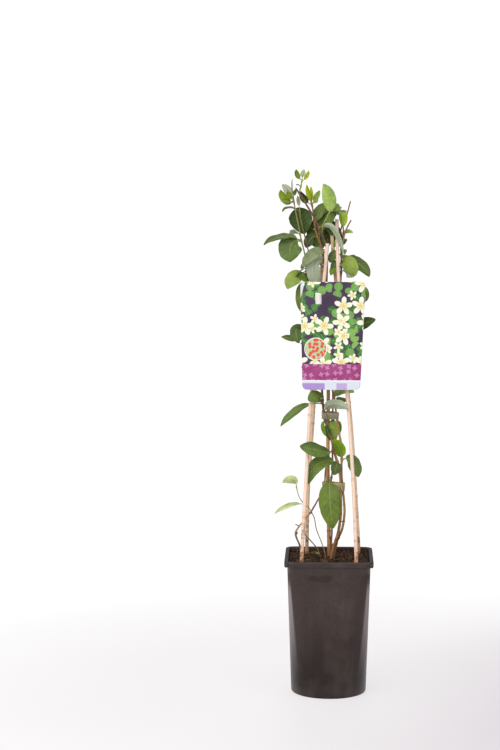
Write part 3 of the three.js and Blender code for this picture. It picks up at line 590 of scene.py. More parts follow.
holes = Gathered()
for k in range(DRAIN_HOLES):
    turn = 2 * math.pi * (k + 0.5) / DRAIN_HOLES
    x, y = DRAIN_RING_RADIUS * math.cos(turn), DRAIN_RING_RADIUS * math.sin(turn)
    axis = np.array([(x, y, z) for z in BORE_HEIGHTS])
    holes.add(*skin(ring_stack(axis, DRAIN_HOLE_RADIUS, BORE_SIDES)))


def shape_with(piece, tool, operation):
    """Joins or cuts a piece with another by a Boolean, applies it and removes the tool."""
    step = piece.modifiers.new(operation, "BOOLEAN")
    step.operation, step.object, step.solver = operation, tool, "EXACT"
    bpy.context.view_layer.update()
    evaluated = piece.evaluated_get(bpy.context.evaluated_depsgraph_get())
    shaped = bpy.data.meshes.new_from_object(evaluated)
    piece.modifiers.clear()
    piece.data = shaped
    bpy.data.objects.remove(tool)

# %% [markdown]
# ### The pot's plastic
# The plastic is dark grey with a little warmth, because it is made of ground-up pots of many colours.
# Wet soil has dried on it in dusty patches, most of all at the foot, and the shared mottle and streaks
# draw those. The wall is painted darker towards the foot, as painted shade, and shines less there. Its
# round corners are painted a milky grey where they bend out of sight, as a painted reflection of the
# bright room at a glancing angle. A damp mark lies high on the front, and the top of the rim is darker
# and rougher.

# %% Pot material: colour of the wall
FOOT_SHADE_FROM, FOOT_SHADE_TO = 0.17, 0.02
SPLASH_HEIGHT = 0.09

pot_plastic, tree, shader = new_material("pot plastic")
where = position(tree)
uneven = mottled(tree, where, 260.0, 1.0)
skin_grain = mottled(tree, where, 1500.0, 2.0)
drips = place_group(tree, streaks, place=where, fineness=160.0, stretch=0.12)
height_up = split(tree, where)["Z"]
splash = times(tree, ramp(tree, height_up, SPLASH_HEIGHT, 0.0), uneven["Broad"])
dusty = times(tree, uneven["Broad"], drips["Bands"], 0.55)
plain = mix(tree, uneven["Fine"], srgb(48, 34, 30), srgb(56, 42, 38))
# Painted shade: the wall is painted darker towards the foot, where less light reaches it from above.
shaded_foot = ramp(tree, height_up, FOOT_SHADE_FROM, FOOT_SHADE_TO)
plain = mix(tree, shaded_foot, plain, srgb(22, 6, 3))
dust = calc(tree, "ADD", times(tree, dusty, 0.35), times(tree, splash, 0.12))
colour = mix(tree, dust, plain, srgb(96, 84, 78))

# %% Pot material: painted sheen on the corners, a damp mark and the dull rim
SHEEN_FOOT, SHEEN_FULL, SHEEN_LESS, SHEEN_TOP = 0.02, 0.17, 0.165, 0.19
DAMP_MARK_PLACE = (-0.014, -0.064, 0.188)
DAMP_MARK_FADE = (42.0, 80.0, 180.0)
WALL_ROUGHNESS = 0.3
WALL_SHINE, SHINE_LOST_AT_FOOT = 0.45, 0.16

# Painted reflection: round corners turning away from view are painted a milky grey, standing in for the
# bright room reflected at a glancing angle.
faces_way = split(tree, add_node(tree, "ShaderNodeTexCoord").outputs["Normal"])
least_way = calc(tree, "MINIMUM", calc(tree, "ABSOLUTE", faces_way["X"]),
                 calc(tree, "ABSOLUTE", faces_way["Y"]))
on_corner = ramp(tree, least_way, 0.08, 0.3)
turned_away = add_node(tree, "ShaderNodeLayerWeight", {"Blend": 0.5}).outputs["Facing"]
between_heights = times(tree, ramp(tree, height_up, SHEEN_FOOT, SHEEN_FULL),
                        ramp(tree, height_up, SHEEN_TOP, SHEEN_LESS))
wall_share = times(tree, ramp(tree, calc(tree, "ABSOLUTE", faces_way["Z"]), 0.5, 0.2), between_heights)
corner_sheen = times(tree, ramp(tree, turned_away, 0.34, 0.47), times(tree, on_corner, wall_share))
colour = mix(tree, times(tree, corner_sheen, 0.74), colour, srgb(156, 143, 144))

from_mark = vector_calc(tree, "SUBTRACT", where, DAMP_MARK_PLACE)
from_mark = vector_calc(tree, "LENGTH", vector_calc(tree, "MULTIPLY", from_mark, DAMP_MARK_FADE))
mark_edge = scale_add(tree, uneven["Broad"], 0.8, from_mark)
colour = mix(tree, times(tree, ramp(tree, mark_edge, 1.5, 0.8), 0.6), colour, srgb(24, 14, 12))

rim_top = ramp(tree, faces_way["Z"], 0.3, 0.8)
colour = mix(tree, times(tree, rim_top, 0.5), colour, srgb(26, 19, 17))
rough = scale_add(tree, dusty, 0.22, scale_add(tree, rim_top, 0.4, WALL_ROUGHNESS))
wire(tree, shader, colour, rough, skin_grain["Fine"], 0.00004)
shine = scale_add(tree, shaded_foot, -SHINE_LOST_AT_FOOT, WALL_SHINE)
tree.links.new(shine, shader.inputs["Specular IOR Level"])

pot = shell.build("pot_shell", [pot_plastic])
shape_with(pot, lugs.build("lugs", [pot_plastic]), "UNION")
shape_with(pot, holes.build("drain_bores", [pot_plastic]), "DIFFERENCE")
settle(pot, "pot_plastic", "pot")

# %% [markdown]
# ## The soil
# Potting soil is peat and bark fibre. From above it reads as a dark, rough ground with crumbs of every
# size, thin fibres that lie every way, and a few pale bits of straw. A bump alone would look flat at the
# pot's edge, so the ground is a mesh with real mounds, and many crumbs and fibres of bark lie on it.

# %% Soil ground
SOIL_LEVEL = 208.5
SOIL_ROUGHNESS = 2.2
SOIL_GAP = POT_WALL + 0.35
SOIL_FOOT_DRAWN_IN = 1.3
SOIL_WALL_HEIGHTS = (30, 90, 150, 204.5)
SOIL_RINGS = 64


def soil_height(x, y):
    """Low mounds and hollows of the potting soil."""
    mounds = (np.sin(x * 0.13 + 1.1) * np.cos(y * 0.11 - 0.4)
              + 0.6 * np.sin(x * 0.31 - y * 0.23) + 0.4 * np.cos(x * 0.47 + y * 0.39))
    crumbs = (np.sin(x * 1.1 + 2 * np.sin(y * 0.7)) * np.cos(y * 1.3 + np.sin(x * 0.9))
              + 0.5 * np.sin(x * 2.3 - y * 1.9))
    return SOIL_LEVEL + SOIL_ROUGHNESS * mounds / 2 + 0.45 * crumbs


rings = [body_ring(POT_FLOOR + 0.4, SOIL_GAP + SOIL_FOOT_DRAWN_IN)]
rings += [body_ring(z, SOIL_GAP) for z in SOIL_WALL_HEIGHTS]
outline = body_ring(SOIL_LEVEL, SOIL_GAP + 0.3)
for share in np.linspace(1, 0.008, SOIL_RINGS):
    ring = outline * [share, share, 1]
    ring[:, 2] = soil_height(ring[:, 0], ring[:, 1])
    rings.append(ring)
ground = Gathered(tone=3)
ground.add(*skin(np.array(rings)), tone=srgb(52, 38, 29)[:3])
print("rings of the soil:", len(rings))

# %% Crumbs and fibres
CRUMBS, FIBRES = 950, 300
CRUMB_LEAST, CRUMB_SPREAD = 0.5, 1.9
CRUMB_MARGIN, FIBRE_MARGIN = 4.0, 9.0
FIBRE_LENGTHS = (4, 17)
FIBRE_RADII = (0.16, 0.42)
SOIL_TONES = [srgb(50, 36, 27), srgb(66, 48, 35), srgb(84, 62, 44), srgb(38, 28, 22), srgb(104, 80, 56)]
STRAW_TONES = [srgb(120, 92, 62), srgb(92, 68, 46), srgb(158, 130, 92), srgb(74, 54, 38)]


def ball(sides=8, rings=5):
    """A low round form of radius 1, as points and faces."""
    angles = np.linspace(0.12, math.pi - 0.12, rings)
    line = np.column_stack([np.zeros((rings, 2)), -np.cos(angles)])
    return skin(ring_stack(line, np.sin(angles), sides))


def spot_on_soil(margin=CRUMB_MARGIN):
    """A chance place on the soil, clear of the wall."""
    reach = BODY_TOP_HALF_WIDTH - SOIL_GAP - margin
    x, y = chance.uniform(-reach, reach, 2)
    return np.array([x, y, float(soil_height(x, y))])


litter = Gathered(tone=3)
ball_points, ball_faces = ball()
print("crumbs and fibres:", CRUMBS, FIBRES)
for k in range(CRUMBS):
    size = CRUMB_LEAST + CRUMB_SPREAD * chance.random() ** 2.4
    stretch = chance.uniform(0.6, 1.5, 3)
    rough = 1 + 0.28 * chance.standard_normal((len(ball_points), 1))
    turned = ball_points * stretch @ np.linalg.qr(chance.standard_normal((3, 3)))[0]
    tone = SOIL_TONES[int(chance.integers(len(SOIL_TONES)))][:3]
    litter.add(turned * rough * size + spot_on_soil() + [0, 0, size * 0.25], ball_faces, tone=tone)

shares = np.linspace(-0.5, 0.5, 8)
for k in range(FIBRES):
    length = chance.uniform(*FIBRE_LENGTHS)
    heading = chance.uniform(0, 2 * math.pi)
    bow = chance.uniform(-0.35, 0.35) * length * (shares ** 2 - 0.1)
    start = spot_on_soil(FIBRE_MARGIN)
    x = start[0] + shares * length * math.cos(heading) - bow * math.sin(heading)
    y = start[1] + shares * length * math.sin(heading) + bow * math.cos(heading)
    z = soil_height(x, y) + 0.5 + chance.uniform(0, 1.6) * np.abs(shares + 0.2)
    thick = chance.uniform(*FIBRE_RADII) * (1 - 1.2 * shares ** 2)
    tone = STRAW_TONES[int(chance.integers(len(STRAW_TONES)))][:3]
    litter.add(*skin(ring_stack(np.column_stack([x, y, z]), thick, 5)), tone=tone)

# %% Soil material
damp_soil, tree, shader = new_material("damp soil", Specular_IOR_Level=0.2)
where = position(tree)
grains = mottled(tree, where, 900.0, 4.0)
own = kept(tree, "tone")
lighter = mix(tree, grains["Fine"], own, srgb(108, 74, 50))
colour = mix(tree, times(tree, grains["Broad"], 0.5), own, lighter)
hollows = ramp(tree, mottled(tree, where, 420.0, 8.0)["Fine"], 0.55, 0.8)
colour = mix(tree, times(tree, hollows, 0.75), colour, srgb(24, 14, 8))
rough = scale_add(tree, grains["Fine"], -0.15, 0.98)
wire(tree, shader, colour, rough, grains["Fine"], 0.0006)

soil = ground.build("soil_ground", [damp_soil])
settle(soil, "soil", "soil")
bits = litter.build("soil_crumbs", [damp_soil])
settle(bits, "soil")

# %% [markdown]
# ## The bamboo canes
# A cane is a whole thin stem of bamboo: pale and smooth, with a ring at each joint where the sheath of
# a leaf once grew, and long fine fibres between. A plain tube would look like a plastic rod, so each
# ring is a real swelling with a groove above it, the cane bows a little and gets thinner upwards, and
# its top is cut square and shows the hollow inside.

# %% Cane places
CANE_BASE_RADIUS, CANE_TOP_RADIUS = 3.1, 2.8
CANE_SIDES = 20
CANE_STEP = 2.5
CANES = {
    "cane_front_left": [(-45, -49, 110), (-42, -45, 213), (-33, -33, 384), (-29, -28, 455),
                        (-9, -12, 644), (-4, -8, 699)],
    "cane_front_right": [(43, -48, 110), (42, -45, 214), (36, -35, 346), (27, -25, 472),
                         (13, -10, 648), (10, -2, 736)],
    "cane_back_left": [(-36, 45, 110), (-35, 40, 207), (-33, 33, 314), (-28, 28, 391),
                       (-17, 17, 570), (-11, 10, 690)],
    "cane_back_right": [(47, 42, 110), (47, 40, 207), (42, 34, 297), (33, 25, 423),
                        (8, 9, 650), (2, 5, 718)],
    "cane_centre": [(1, 7, 60), (0, 5, 221), (-2, 3, 332), (-2, 3, 462), (0, 2, 600)],
}
CANE_JOINTS = {
    "cane_front_left": [281, 437, 588, 668],
    "cane_front_right": [245, 339, 466, 604, 702],
    "cane_back_left": [262, 418, 560, 655],
    "cane_back_right": [302, 452, 590, 690],
    "cane_centre": [252, 368, 498],
}
RING_SWELL, RING_REACH, RING_STAIN_REACH = 0.36, 2.4, 1.4
GROOVE_DEPTH, GROOVE_REACH, GROOVE_ABOVE = 0.2, 1.8, 4.0
CANE_INSET = 0.12
# Rings that close the cut top: the share of the radius and how far each lies below the rim.
HOLLOW_TOP = [(0.93, -0.15), (0.5, -0.1), (0.44, 0.5), (0.4, 4.0)]


def cane_form(points, joints):
    """A cane's skin, with how near each point is to a joint, from 0 to 1."""
    line, places = smooth_line(points, CANE_STEP)
    radii = CANE_BASE_RADIUS + (CANE_TOP_RADIUS - CANE_BASE_RADIUS) * places
    near = np.zeros(len(line))
    for joint in joints:
        off = line[:, 2] - joint
        near += np.exp(-(off / RING_STAIN_REACH) ** 2)
        groove = GROOVE_DEPTH * np.exp(-((off - GROOVE_ABOVE) / GROOVE_REACH) ** 2)
        radii = radii + RING_SWELL * np.exp(-(off / RING_REACH) ** 2) - groove
    stack = ring_stack(line, radii - CANE_INSET, CANE_SIDES)
    top = stack[-1]
    middle = top.mean(0)
    cut = [middle + (top - middle) * share - [0, 0, drop] for share, drop in HOLLOW_TOP]
    points, faces = skin(np.concatenate([stack, cut]))
    near = np.concatenate([near, np.zeros(len(cut))])
    return points, faces, per_ring(near, CANE_SIDES)

# %% [markdown]
# ### Bamboo, as three washes of colour
# Seen close, a cane is a pale ground with fine darker fibres, a brown ring at each joint, and old stains
# where rain ran down or soil splashed up. The fibres are the shared streaks. The rings come from a value
# kept on the mesh, and the dark splashes and the stained foot from the height. The two canes at the back
# are tanner and the short one in the middle is old and brown, colours that are partly painted shade, as
# these canes stand in the plant's shade; so the same recipe is mixed three times.

# %% Bamboo materials
STAINED_FROM, STAINED_FULL = 0.245, 0.205
SPLASHED_FROM, SPLASHED_FULL = 0.31, 0.23


def bamboo(name, pale, shade, ring, stain, stain_share):
    """A bamboo finish from four colours and how much of it is stained."""
    material, tree, shader = new_material(name, Specular_IOR_Level=0.4)
    where = position(tree)
    fibre = place_group(tree, streaks, place=where, fineness=1300.0, stretch=0.02)
    cloudy = mottled(tree, where, 110.0, 6.0)
    joint = kept(tree, "joint", "Fac")
    height_up = split(tree, where)["Z"]
    ground = mix(tree, times(tree, fibre["Bands"], 0.5), pale, shade)
    foot = times(tree, ramp(tree, height_up, STAINED_FROM, STAINED_FULL), 0.9)
    patches = times(tree, cloudy["Fine"], fibre["Bands"], stain_share)
    dirty = calc(tree, "ADD", patches, foot, clamp=True)
    stained = mix(tree, dirty, ground, stain)
    drops = mottled(tree, where, 120.0, 14.0)["Fine"]
    drops = times(tree, ramp(tree, drops, 0.5, 0.75), ramp(tree, fibre["Bands"], 0.3, 0.6))
    splashed = times(tree, ramp(tree, height_up, SPLASHED_FROM, SPLASHED_FULL), drops)
    stained = mix(tree, times(tree, splashed, 0.85), stained, srgb(112, 78, 58))
    ringed = mix(tree, times(tree, joint, 0.8), stained, ring)
    height = calc(tree, "ADD", fibre["Fibres"], times(tree, fibre["Bands"], 0.6))
    wire(tree, shader, ringed, scale_add(tree, dirty, 0.2, 0.52), height, 0.00006)
    return material


young_bamboo = bamboo("pale bamboo", srgb(246, 219, 200), srgb(236, 200, 173), srgb(206, 158, 124),
                      srgb(192, 134, 86), 0.2)
# Painted shade: the tan and brown copies are darker partly because these canes stand in the plant's
# shade.
tan_shaded_bamboo = bamboo("tan bamboo", srgb(250, 218, 184), srgb(230, 186, 144), srgb(192, 142, 104),
                    srgb(192, 122, 68), 0.35)
brown_shaded_bamboo = bamboo("brown bamboo", srgb(208, 160, 104), srgb(176, 124, 72), srgb(124, 86, 52),
                    srgb(122, 82, 46), 0.5)
cane_finishes = {"cane_back_left": tan_shaded_bamboo, "cane_back_right": tan_shaded_bamboo, "cane_centre": brown_shaded_bamboo}
print("canes with their own finish:", len(cane_finishes))

# %% Grow the canes
for name, points in CANES.items():
    cane = Gathered(joint=1)
    skin_points, skin_faces, near_joint = cane_form(points, CANE_JOINTS[name])
    cane.add(skin_points, skin_faces, joint=near_joint[:, None])
    settle(cane.build(name + "_grown", [cane_finishes.get(name, young_bamboo)]), "bamboo", name)

# %% [markdown]
# ## Where everything grows
# Each vine is one plant stem with its side shoots and leaves. A stem is a list of points from root to
# tip with its radius at both ends and its tones on the way up. A leaf is the stem that it grows from and
# the height, a bend that pulls its midrib, its tip, its width, the way its upper side faces, its kind
# and its tone. So a leaf is set by a few choices that a botanist would make too, not by an outline.

# %% The stems of every vine
STEMS = {
    "vine_right": {
        "main": {
            "radii": (2.0, 1.3),
            "tones": "umber brown straw brown straw rust rust plum",
            "points": [
                (8, 1, 140), (7, 0, 205), (13, -2, 238), (20, -4, 255), (24, -6, 283), (23, -8, 302),
                (21, -8, 320), (19, -6, 345), (19, -5, 383), (13, -4, 419), (7, -6, 461),
                (3, -7, 485), (5, -5, 540), (12, 0, 600), (17, 4, 650), (17, 4, 692)]},
        "cut_high": {"on": ("main", 688), "radii": (1.2, 1.0), "tones": "plum umber brown", "points": [
            (15, 1, 711), (18, 1, 726), (24, 1, 739), (31, 1, 764)]},
        "cut_low": {"on": ("main", 672), "radii": (1.2, 1.1), "tones": "shoot straw brown", "points": [
            (20, 2, 702), (24, 1, 719), (32, 0, 735)]},
        "crown": {"on": ("main", 690), "radii": (1.2, 0.8), "tones": "rust mauve shoot", "points": [
            (20, 6, 712), (19, 5, 730), (14, 1, 746), (12, -1, 753)]},
    },
    "vine_front": {
        "main": {
            "radii": (2.5, 1.3),
            "tones": "umber brown straw brown umber plum plum plum plum plum",
            "points": [
                (3, -6, 140), (3, -7, 207), (8, -7, 231), (14, -8, 250), (18, -10, 279),
                (18, -11, 303), (17, -10, 340), (13, -10, 359), (7, -9, 380), (2, -9, 402),
                (-5, -9, 421), (-9, -8, 440), (-11, -6, 460), (-13, -4, 520), (-9, -2, 590),
                (-5, -3, 648), (-6, -2, 694), (-16, -5, 720), (-26, -8, 741), (-37, -11, 759),
                (-46, -13, 773), (-53, -14, 784)]},
        "bud": {"on": ("main", 776), "radii": (1.1, 1.0), "tones": "shoot lime", "points": [
            (-45, -14, 786), (-43, -14, 797)]},
        "pale_shoot": {"on": ("main", 712), "radii": (0.9, 0.8), "tones": "shoot light", "points": [
            (-12, -10, 722), (-7, -14, 736), (0, -15, 749)]},
    },
    "vine_middle": {
        "main": {
            "radii": (1.4, 1.2),
            "tones": "umber brown rust straw umber brown rust rust rust red",
            "points": [
                (3, -1, 140), (2, -1, 207), (4, -3, 240), (4, -3, 270), (1, -3, 300), (2, -3, 325),
                (5, 0, 350), (5, 3, 380), (5, 5, 420), (5, 7, 460), (4, 9, 520), (-2, 8, 580),
                (-8, 4, 640), (-12, 2, 687), (-22, 0, 718), (-27, 0, 752), (-30, 0, 767)]},
    },
    "vine_left": {
        "main": {
            "radii": (1.4, 1.0),
            "tones": "brown umber straw brown straw brown straw brown brown shoot shoot mauve",
            "points": [
                (-40, -18, 150), (-42, -19, 205), (-45, -18, 231), (-52, -21, 252), (-46, -22, 263),
                (-37, -20, 274), (-28, -17, 285), (-16, -10, 305), (-9, -6, 314), (-7, 0, 328),
                (-6, 7, 345), (-2, 9, 370), (-1, 9, 400), (-3, 9, 441), (-12, 8, 452), (-24, 4, 468),
                (-32, 0, 500), (-36, -2, 560), (-36, -5, 640), (-38, -9, 678), (-45, -14, 708),
                (-47, -15, 720), (-53, -15, 749), (-57, -16, 771)]},
        "red_shoot": {"on": ("main", 655), "radii": (1.0, 0.8), "tones": "red plum shoot", "points": [
            (-33, -4, 683), (-38, -4, 706), (-44, -4, 730), (-47, -5, 752)]},
    },
    "vine_seedling": {
        "main": {"radii": (0.8, 0.7), "tones": "brown straw mauve blush pale", "points": [
            (-5, 2, 170), (-6, 2, 215), (-20, -8, 258), (-23, -10, 274), (-31, -14, 290),
            (-40, -18, 299), (-46, -20, 308), (-51, -21, 325)]},
    },
    "vine_bare_twig": {
        "main": {"radii": (1.0, 0.8), "tones": "umber brown umber", "points": [
            (-12, 3, 170), (-13, 2, 209), (-17, 0, 222), (-38, -10, 249), (-40, -11, 252)]},
    },
}
print("stems:", sum(len(stems) for stems in STEMS.values()))

# %% The leaves of every vine
LEAVES = {
    "vine_right": [
        ("main", 366, (18, -16, 388), (4, -20, 397), 18, (0, -0.8, 0.6), "young", "lush"),
        ("main", 364, (36, -4, 377), (45, -6, 338), 22, (0.3, -0.9, 0.3), "mature", "soft"),
        ("main", 460, (16, 0, 482), (38, 1, 469), 16, (0.1, -0.85, 0.5), "young", "light"),
        ("main", 455, (14, 7, 461), (28, 9, 454), 13, (0, -0.6, 0.8), "mature", "mid"),
        ("main", 426, (16, 5, 424), (15, 5, 403), 8, (0.3, -0.9, 0.2), "young", "bright"),
        ("main", 510, (26, 0, 526), (44, 2, 506), 22, (0.2, -0.3, 0.9), "mature", "mid"),
        ("main", 545, (28, -4, 560), (46, -4, 536), 22, (0.2, -0.4, 0.9), "mature", "dark"),
        ("main", 562, (50, -2, 575), (70, -12, 583), 19, (0.2, -0.85, 0.5), "spoon", "dark"),
        ("main", 600, (30, 2, 618), (46, 8, 598), 22, (0.3, -0.3, 0.9), "mature", "mid"),
        ("main", 628, (66, 0, 643), (54, -10, 610), 18, (0.8, -0.5, 0.3), "mature", "olive"),
        ("main", 664, (24, -12, 686), (39, -14, 650), 26, (0.1, -0.8, 0.6), "pale", "fresh"),
        ("main", 668, (43, 2, 682), (60, -8, 648), 22, (0.2, -0.8, 0.6), "mature", "dark"),
        ("main", 655, (21, -6, 662), (37, -8, 648), 18, (0, 0.8, 0.5), "mature", "pale"),
        ("main", 662, (9, -2, 670), (1, -6, 650), 12, (-0.3, -0.8, 0.5), "young", "bright"),
        ("main", 680, (6, 0, 693), (0, -1, 669), 13, (-0.1, -0.9, 0.4), "mature", "soft"),
        ("main", 666, (8, -1, 676), (4, -3, 657), 12, (0, -0.9, 0.4), "mature", "dark"),
        ("main", 690, (10, 1, 712), (6, 1, 692), 7, (0.1, -0.9, 0.3), "young", "bright"),
        ("main", 670, (30, 20, 692), (44, 34, 664), 22, (0.3, 0.3, 0.9), "mature", "mid"),
        ("main", 682, (24, -4, 698), (22, -9, 682), 7, (0.4, -0.7, 0.6), "young", "bright"),
        ("main", 690, (15, 26, 720), (13, 44, 694), 22, (0.1, 0.4, 0.9), "mature", "dark"),
        ("crown", 714, (26, 4, 721), (35, 2, 715), 8, (0, -0.8, 0.6), "sessile", "light"),
        ("crown", 735, (15, 22, 762), (12, 38, 742), 20, (0.1, 0.4, 0.9), "mature", "mid"),
        ("crown", 747, (19, -4, 765), (4, -9, 748), 14, (0.3, -0.4, 0.85), "mature", "fresh"),
        ("crown", 744, (20, -12, 753), (19, -14, 724), 15, (0.4, -0.7, 0.6), "young", "vivid"),
        ("crown", 742, (0, -9, 752), (-3, -9, 724), 14, (-0.3, -0.85, 0.5), "mature", "mid"),
        ("crown", 748, (6, 2, 753), (3, 4, 757), 9, (-0.2, -0.8, 0.5), "young", "fresh"),
        ("main", 690, (4, 26, 740), (-16, 17, 731), 18, (-0.2, -0.8, 0.5), "mature", "deep"),
    ],
    "vine_front": [
        ("main", 362, (-27, -32, 374), (-32, -28, 330), 23, (-0.3, -0.85, 0.45), "mature", "mid"),
        ("main", 362, (13, -30, 365), (7, -28, 344), 17, (0.2, -0.9, 0.4), "mature", "dark"),
        ("main", 458, (-14, -40, 473), (-33, -38, 461), 20, (-0.2, -0.95, 0.3), "spoon", "mid"),
        ("main", 440, (5, -30, 464), (29, -36, 447), 18, (0, 0.9, 0.45), "mature", "mid"),
        ("main", 426, (-7, -14, 422), (2, -9, 395), 9, (-0.1, -0.9, 0.2), "mature", "deep"),
        ("main", 429, (-14, -13, 420), (-5, -11, 402), 7, (-0.4, -0.9, 0.2), "young", "bright"),
        ("main", 490, (-26, -12, 508), (-38, -17, 492), 17, (-0.2, -0.3, 0.9), "mature", "mid"),
        ("main", 546, (-26, -12, 562), (-42, -16, 540), 17, (-0.2, -0.3, 0.9), "mature", "dark"),
        ("main", 600, (-24, -6, 618), (-36, -15, 596), 18, (-0.3, -0.3, 0.9), "mature", "mid"),
        ("main", 676, (-40, -28, 679), (-16, -5, 628), 22, (-0.15, 0.95, 0.1), "mature", "soft"),
        ("main", 684, (-24, -18, 696), (-42, -26, 664), 18, (-0.2, -0.85, 0.4), "mature", "grey"),
        ("main", 722, (7, -26, 742), (20, -22, 683), 11, (0.6, 0.7, 0.3), "mature", "soft"),
        ("main", 716, (-2, 2, 738), (3, 0, 711), 14, (0, -0.9, 0.4), "mature", "deep"),
        ("pale_shoot", 747, (2, -17, 770), (-11, -16, 790), 21, (0.05, -1, 0.1), "sessile", "light"),
        ("bud", 795, (-51, -15, 800), (-52, -16, 812), 8, (-0.3, -0.8, 0.4), "young", "bright"),
        ("bud", 795, (-43, -16, 803), (-40, -14, 812), 8, (0, 0.9, 0.3), "pale", "vivid"),
        ("bud", 794, (-35, -11, 799), (-33, -11, 810), 6, (0.3, -0.8, 0.4), "young", "lime"),
        ("bud", 786, (-49, -17, 790), (-52, -20, 788), 5, (-0.3, -0.6, 0.7), "mature", "deep"),
    ],
    "vine_middle": [
        ("main", 336, (-4, -34, 331), (6, -25, 260), 34, (0, -0.9, 0.45), "broad", "olive"),
        ("main", 377, (-12, -44, 382), (-45, -50, 392), 23, (-0.1, -0.9, 0.45), "spoon", "soft"),
        ("main", 430, (3, -8, 431), (9, -5, 394), 15, (-0.25, -1, 0.1), "pale", "fresh"),
        ("main", 500, (10, 32, 524), (12, 50, 498), 24, (0, 0.4, 0.9), "mature", "mid"),
        ("main", 540, (0, 34, 562), (-4, 52, 530), 24, (0, 0.4, 0.9), "mature", "dark"),
        ("main", 575, (7, 30, 596), (14, 46, 574), 20, (0.1, 0.4, 0.9), "mature", "mid"),
        ("main", 594, (4, 30, 616), (5, 48, 588), 20, (0, 0.4, 0.9), "mature", "olive"),
        ("main", 660, (-28, 5, 686), (-44, 18, 658), 22, (-0.3, 0.3, 0.9), "mature", "mid"),
        ("main", 694, (-14, 26, 724), (-10, 46, 694), 24, (0, 0.4, 0.9), "mature", "dark"),
        ("main", 716, (-34, 20, 744), (-44, 34, 716), 24, (-0.3, 0.3, 0.9), "mature", "mid"),
        ("main", 736, (-12, 20, 764), (-2, 38, 738), 22, (0.2, 0.4, 0.9), "mature", "mid"),
        ("main", 758, (-43, -6, 765), (-45, -8, 779), 11, (-0.3, -0.9, 0.2), "mature", "deep"),
        ("main", 760, (-35, -3, 774), (-36, -3, 789), 7, (-0.2, -0.95, 0.1), "young", "lime"),
        ("main", 760, (-29, 0, 774), (-30, -1, 786), 6, (0.2, -0.95, 0.1), "young", "lime"),
        ("main", 757, (-26, -4, 763), (-16, -6, 780), 9, (0.3, -0.9, -0.1), "pale", "light"),
        ("main", 759, (-23, 3, 762), (-19, 3, 768), 7, (0.2, -0.8, 0.5), "pale", "pale"),
        ("main", 726, (-19, 4, 758), (-2, 6, 757), 17, (0, -0.85, 0.5), "mature", "mid"),
        ("main", 730, (-34, 4, 746), (-30, 6, 718), 18, (-0.1, -0.9, 0.4), "mature", "deep"),
        ("main", 706, (-6, 11, 724), (-3, 12, 693), 15, (0.1, -0.9, 0.4), "mature", "dark"),
        ("main", 704, (-27, 4, 719), (-37, 2, 692), 18, (-0.2, -0.9, 0.4), "mature", "deep"),
        ("main", 714, (-12, 5, 712), (-18, 5, 688), 18, (0, -0.9, 0.4), "mature", "dark"),
        ("main", 710, (-8, 8, 746), (8, 10, 742), 20, (0.1, -0.8, 0.5), "mature", "olive"),
        ("main", 702, (-17, 5, 744), (-5, 6, 716), 17, (0.1, -0.9, 0.4), "mature", "deep"),
        ("main", 688, (-28, 10, 707), (-33, 10, 725), 18, (-0.3, -0.9, 0.3), "mature", "dark"),
    ],
    "vine_left": [
        ("main", 450, (-45, -6, 459), (-75, -26, 419), 15, (-0.3, -0.7, 0.6), "stalked", "soft"),
        ("main", 500, (-34, 16, 520), (-34, 32, 500), 22, (-0.3, 0.3, 0.9), "mature", "mid"),
        ("main", 536, (-36, 18, 560), (-34, 36, 536), 22, (-0.4, 0.3, 0.9), "mature", "dark"),
        ("main", 558, (-61, -14, 583), (-47, -24, 547), 20, (-0.4, -0.75, 0.5), "mature", "dark"),
        ("main", 552, (-63, 0, 553), (-75, -4, 555), 12, (-0.1, -0.7, 0.6), "mature", "soft"),
        ("main", 600, (-40, 16, 624), (-42, 34, 598), 22, (-0.4, 0.3, 0.9), "mature", "mid"),
        ("main", 646, (-53, -16, 624), (-42, -12, 593), 15, (-0.5, -0.8, 0.2), "mature", "olive"),
        ("main", 648, (-56, -18, 657), (-65, -22, 630), 24, (-0.2, -0.9, 0.35), "pale", "fresh"),
        ("main", 656, (-50, -19, 656), (-31, -9, 643), 18, (0, -0.8, 0.6), "mature", "olive"),
        ("main", 662, (-47, -14, 659), (-53, -18, 648), 10, (0, 0.3, 0.95), "mature", "dark"),
        ("main", 702, (-65, -26, 711), (-61, -24, 671), 38, (-0.3, -0.9, 0.3), "mature", "soft"),
        ("main", 704, (-76, -24, 720), (-101, -30, 697), 20, (0, -0.35, 0.95), "mature", "dark"),
        ("red_shoot", 700, (-42, 1, 724), (-50, 2, 754), 35, (0, -1, 0.05), "folded", "deep"),
        ("main", 712, (-54, 2, 722), (-62, 6, 712), 13, (0, 0.7, 0.7), "mature", "mid"),
        ("main", 762, (-68, -14, 759), (-76, -18, 781), 15, (-0.4, -0.8, -0.3), "young", "vivid"),
        ("main", 764, (-64, -20, 762), (-75, -24, 766), 8, (-0.2, -0.6, 0.7), "young", "fresh"),
        ("main", 768, (-65, -10, 783), (-74, -8, 789), 12, (0.2, 0.8, -0.4), "pale", "shaded"),
        ("main", 770, (-60, -16, 787), (-58, -18, 798), 4, (0.9, -0.3, 0), "young", "blush"),
        ("main", 766, (-63, -24, 769), (-65, -26, 780), 9, (0, -0.9, 0.3), "young", "vivid"),
        ("main", 768, (-54, -18, 778), (-53, -20, 782), 6, (0.3, -0.9, 0.2), "mature", "soft"),
        ("red_shoot", 748, (-68, -8, 761), (-73, -10, 747), 9, (-0.1, -0.3, 0.95), "mature", "dark"),
        ("red_shoot", 750, (-49, -6, 765), (-50, -7, 772), 6, (0, -0.9, 0.3), "pale", "pale"),
    ],
    "vine_seedling": [
        ("main", 322, (-51, -23, 345), (-72, -26, 332), 13, (-0.1, -0.85, 0.45), "pale", "pale"),
        ("main", 297, (-63, -23, 302), (-84, -26, 283), 9, (-0.1, -0.6, 0.7), "pale", "pale"),
    ],
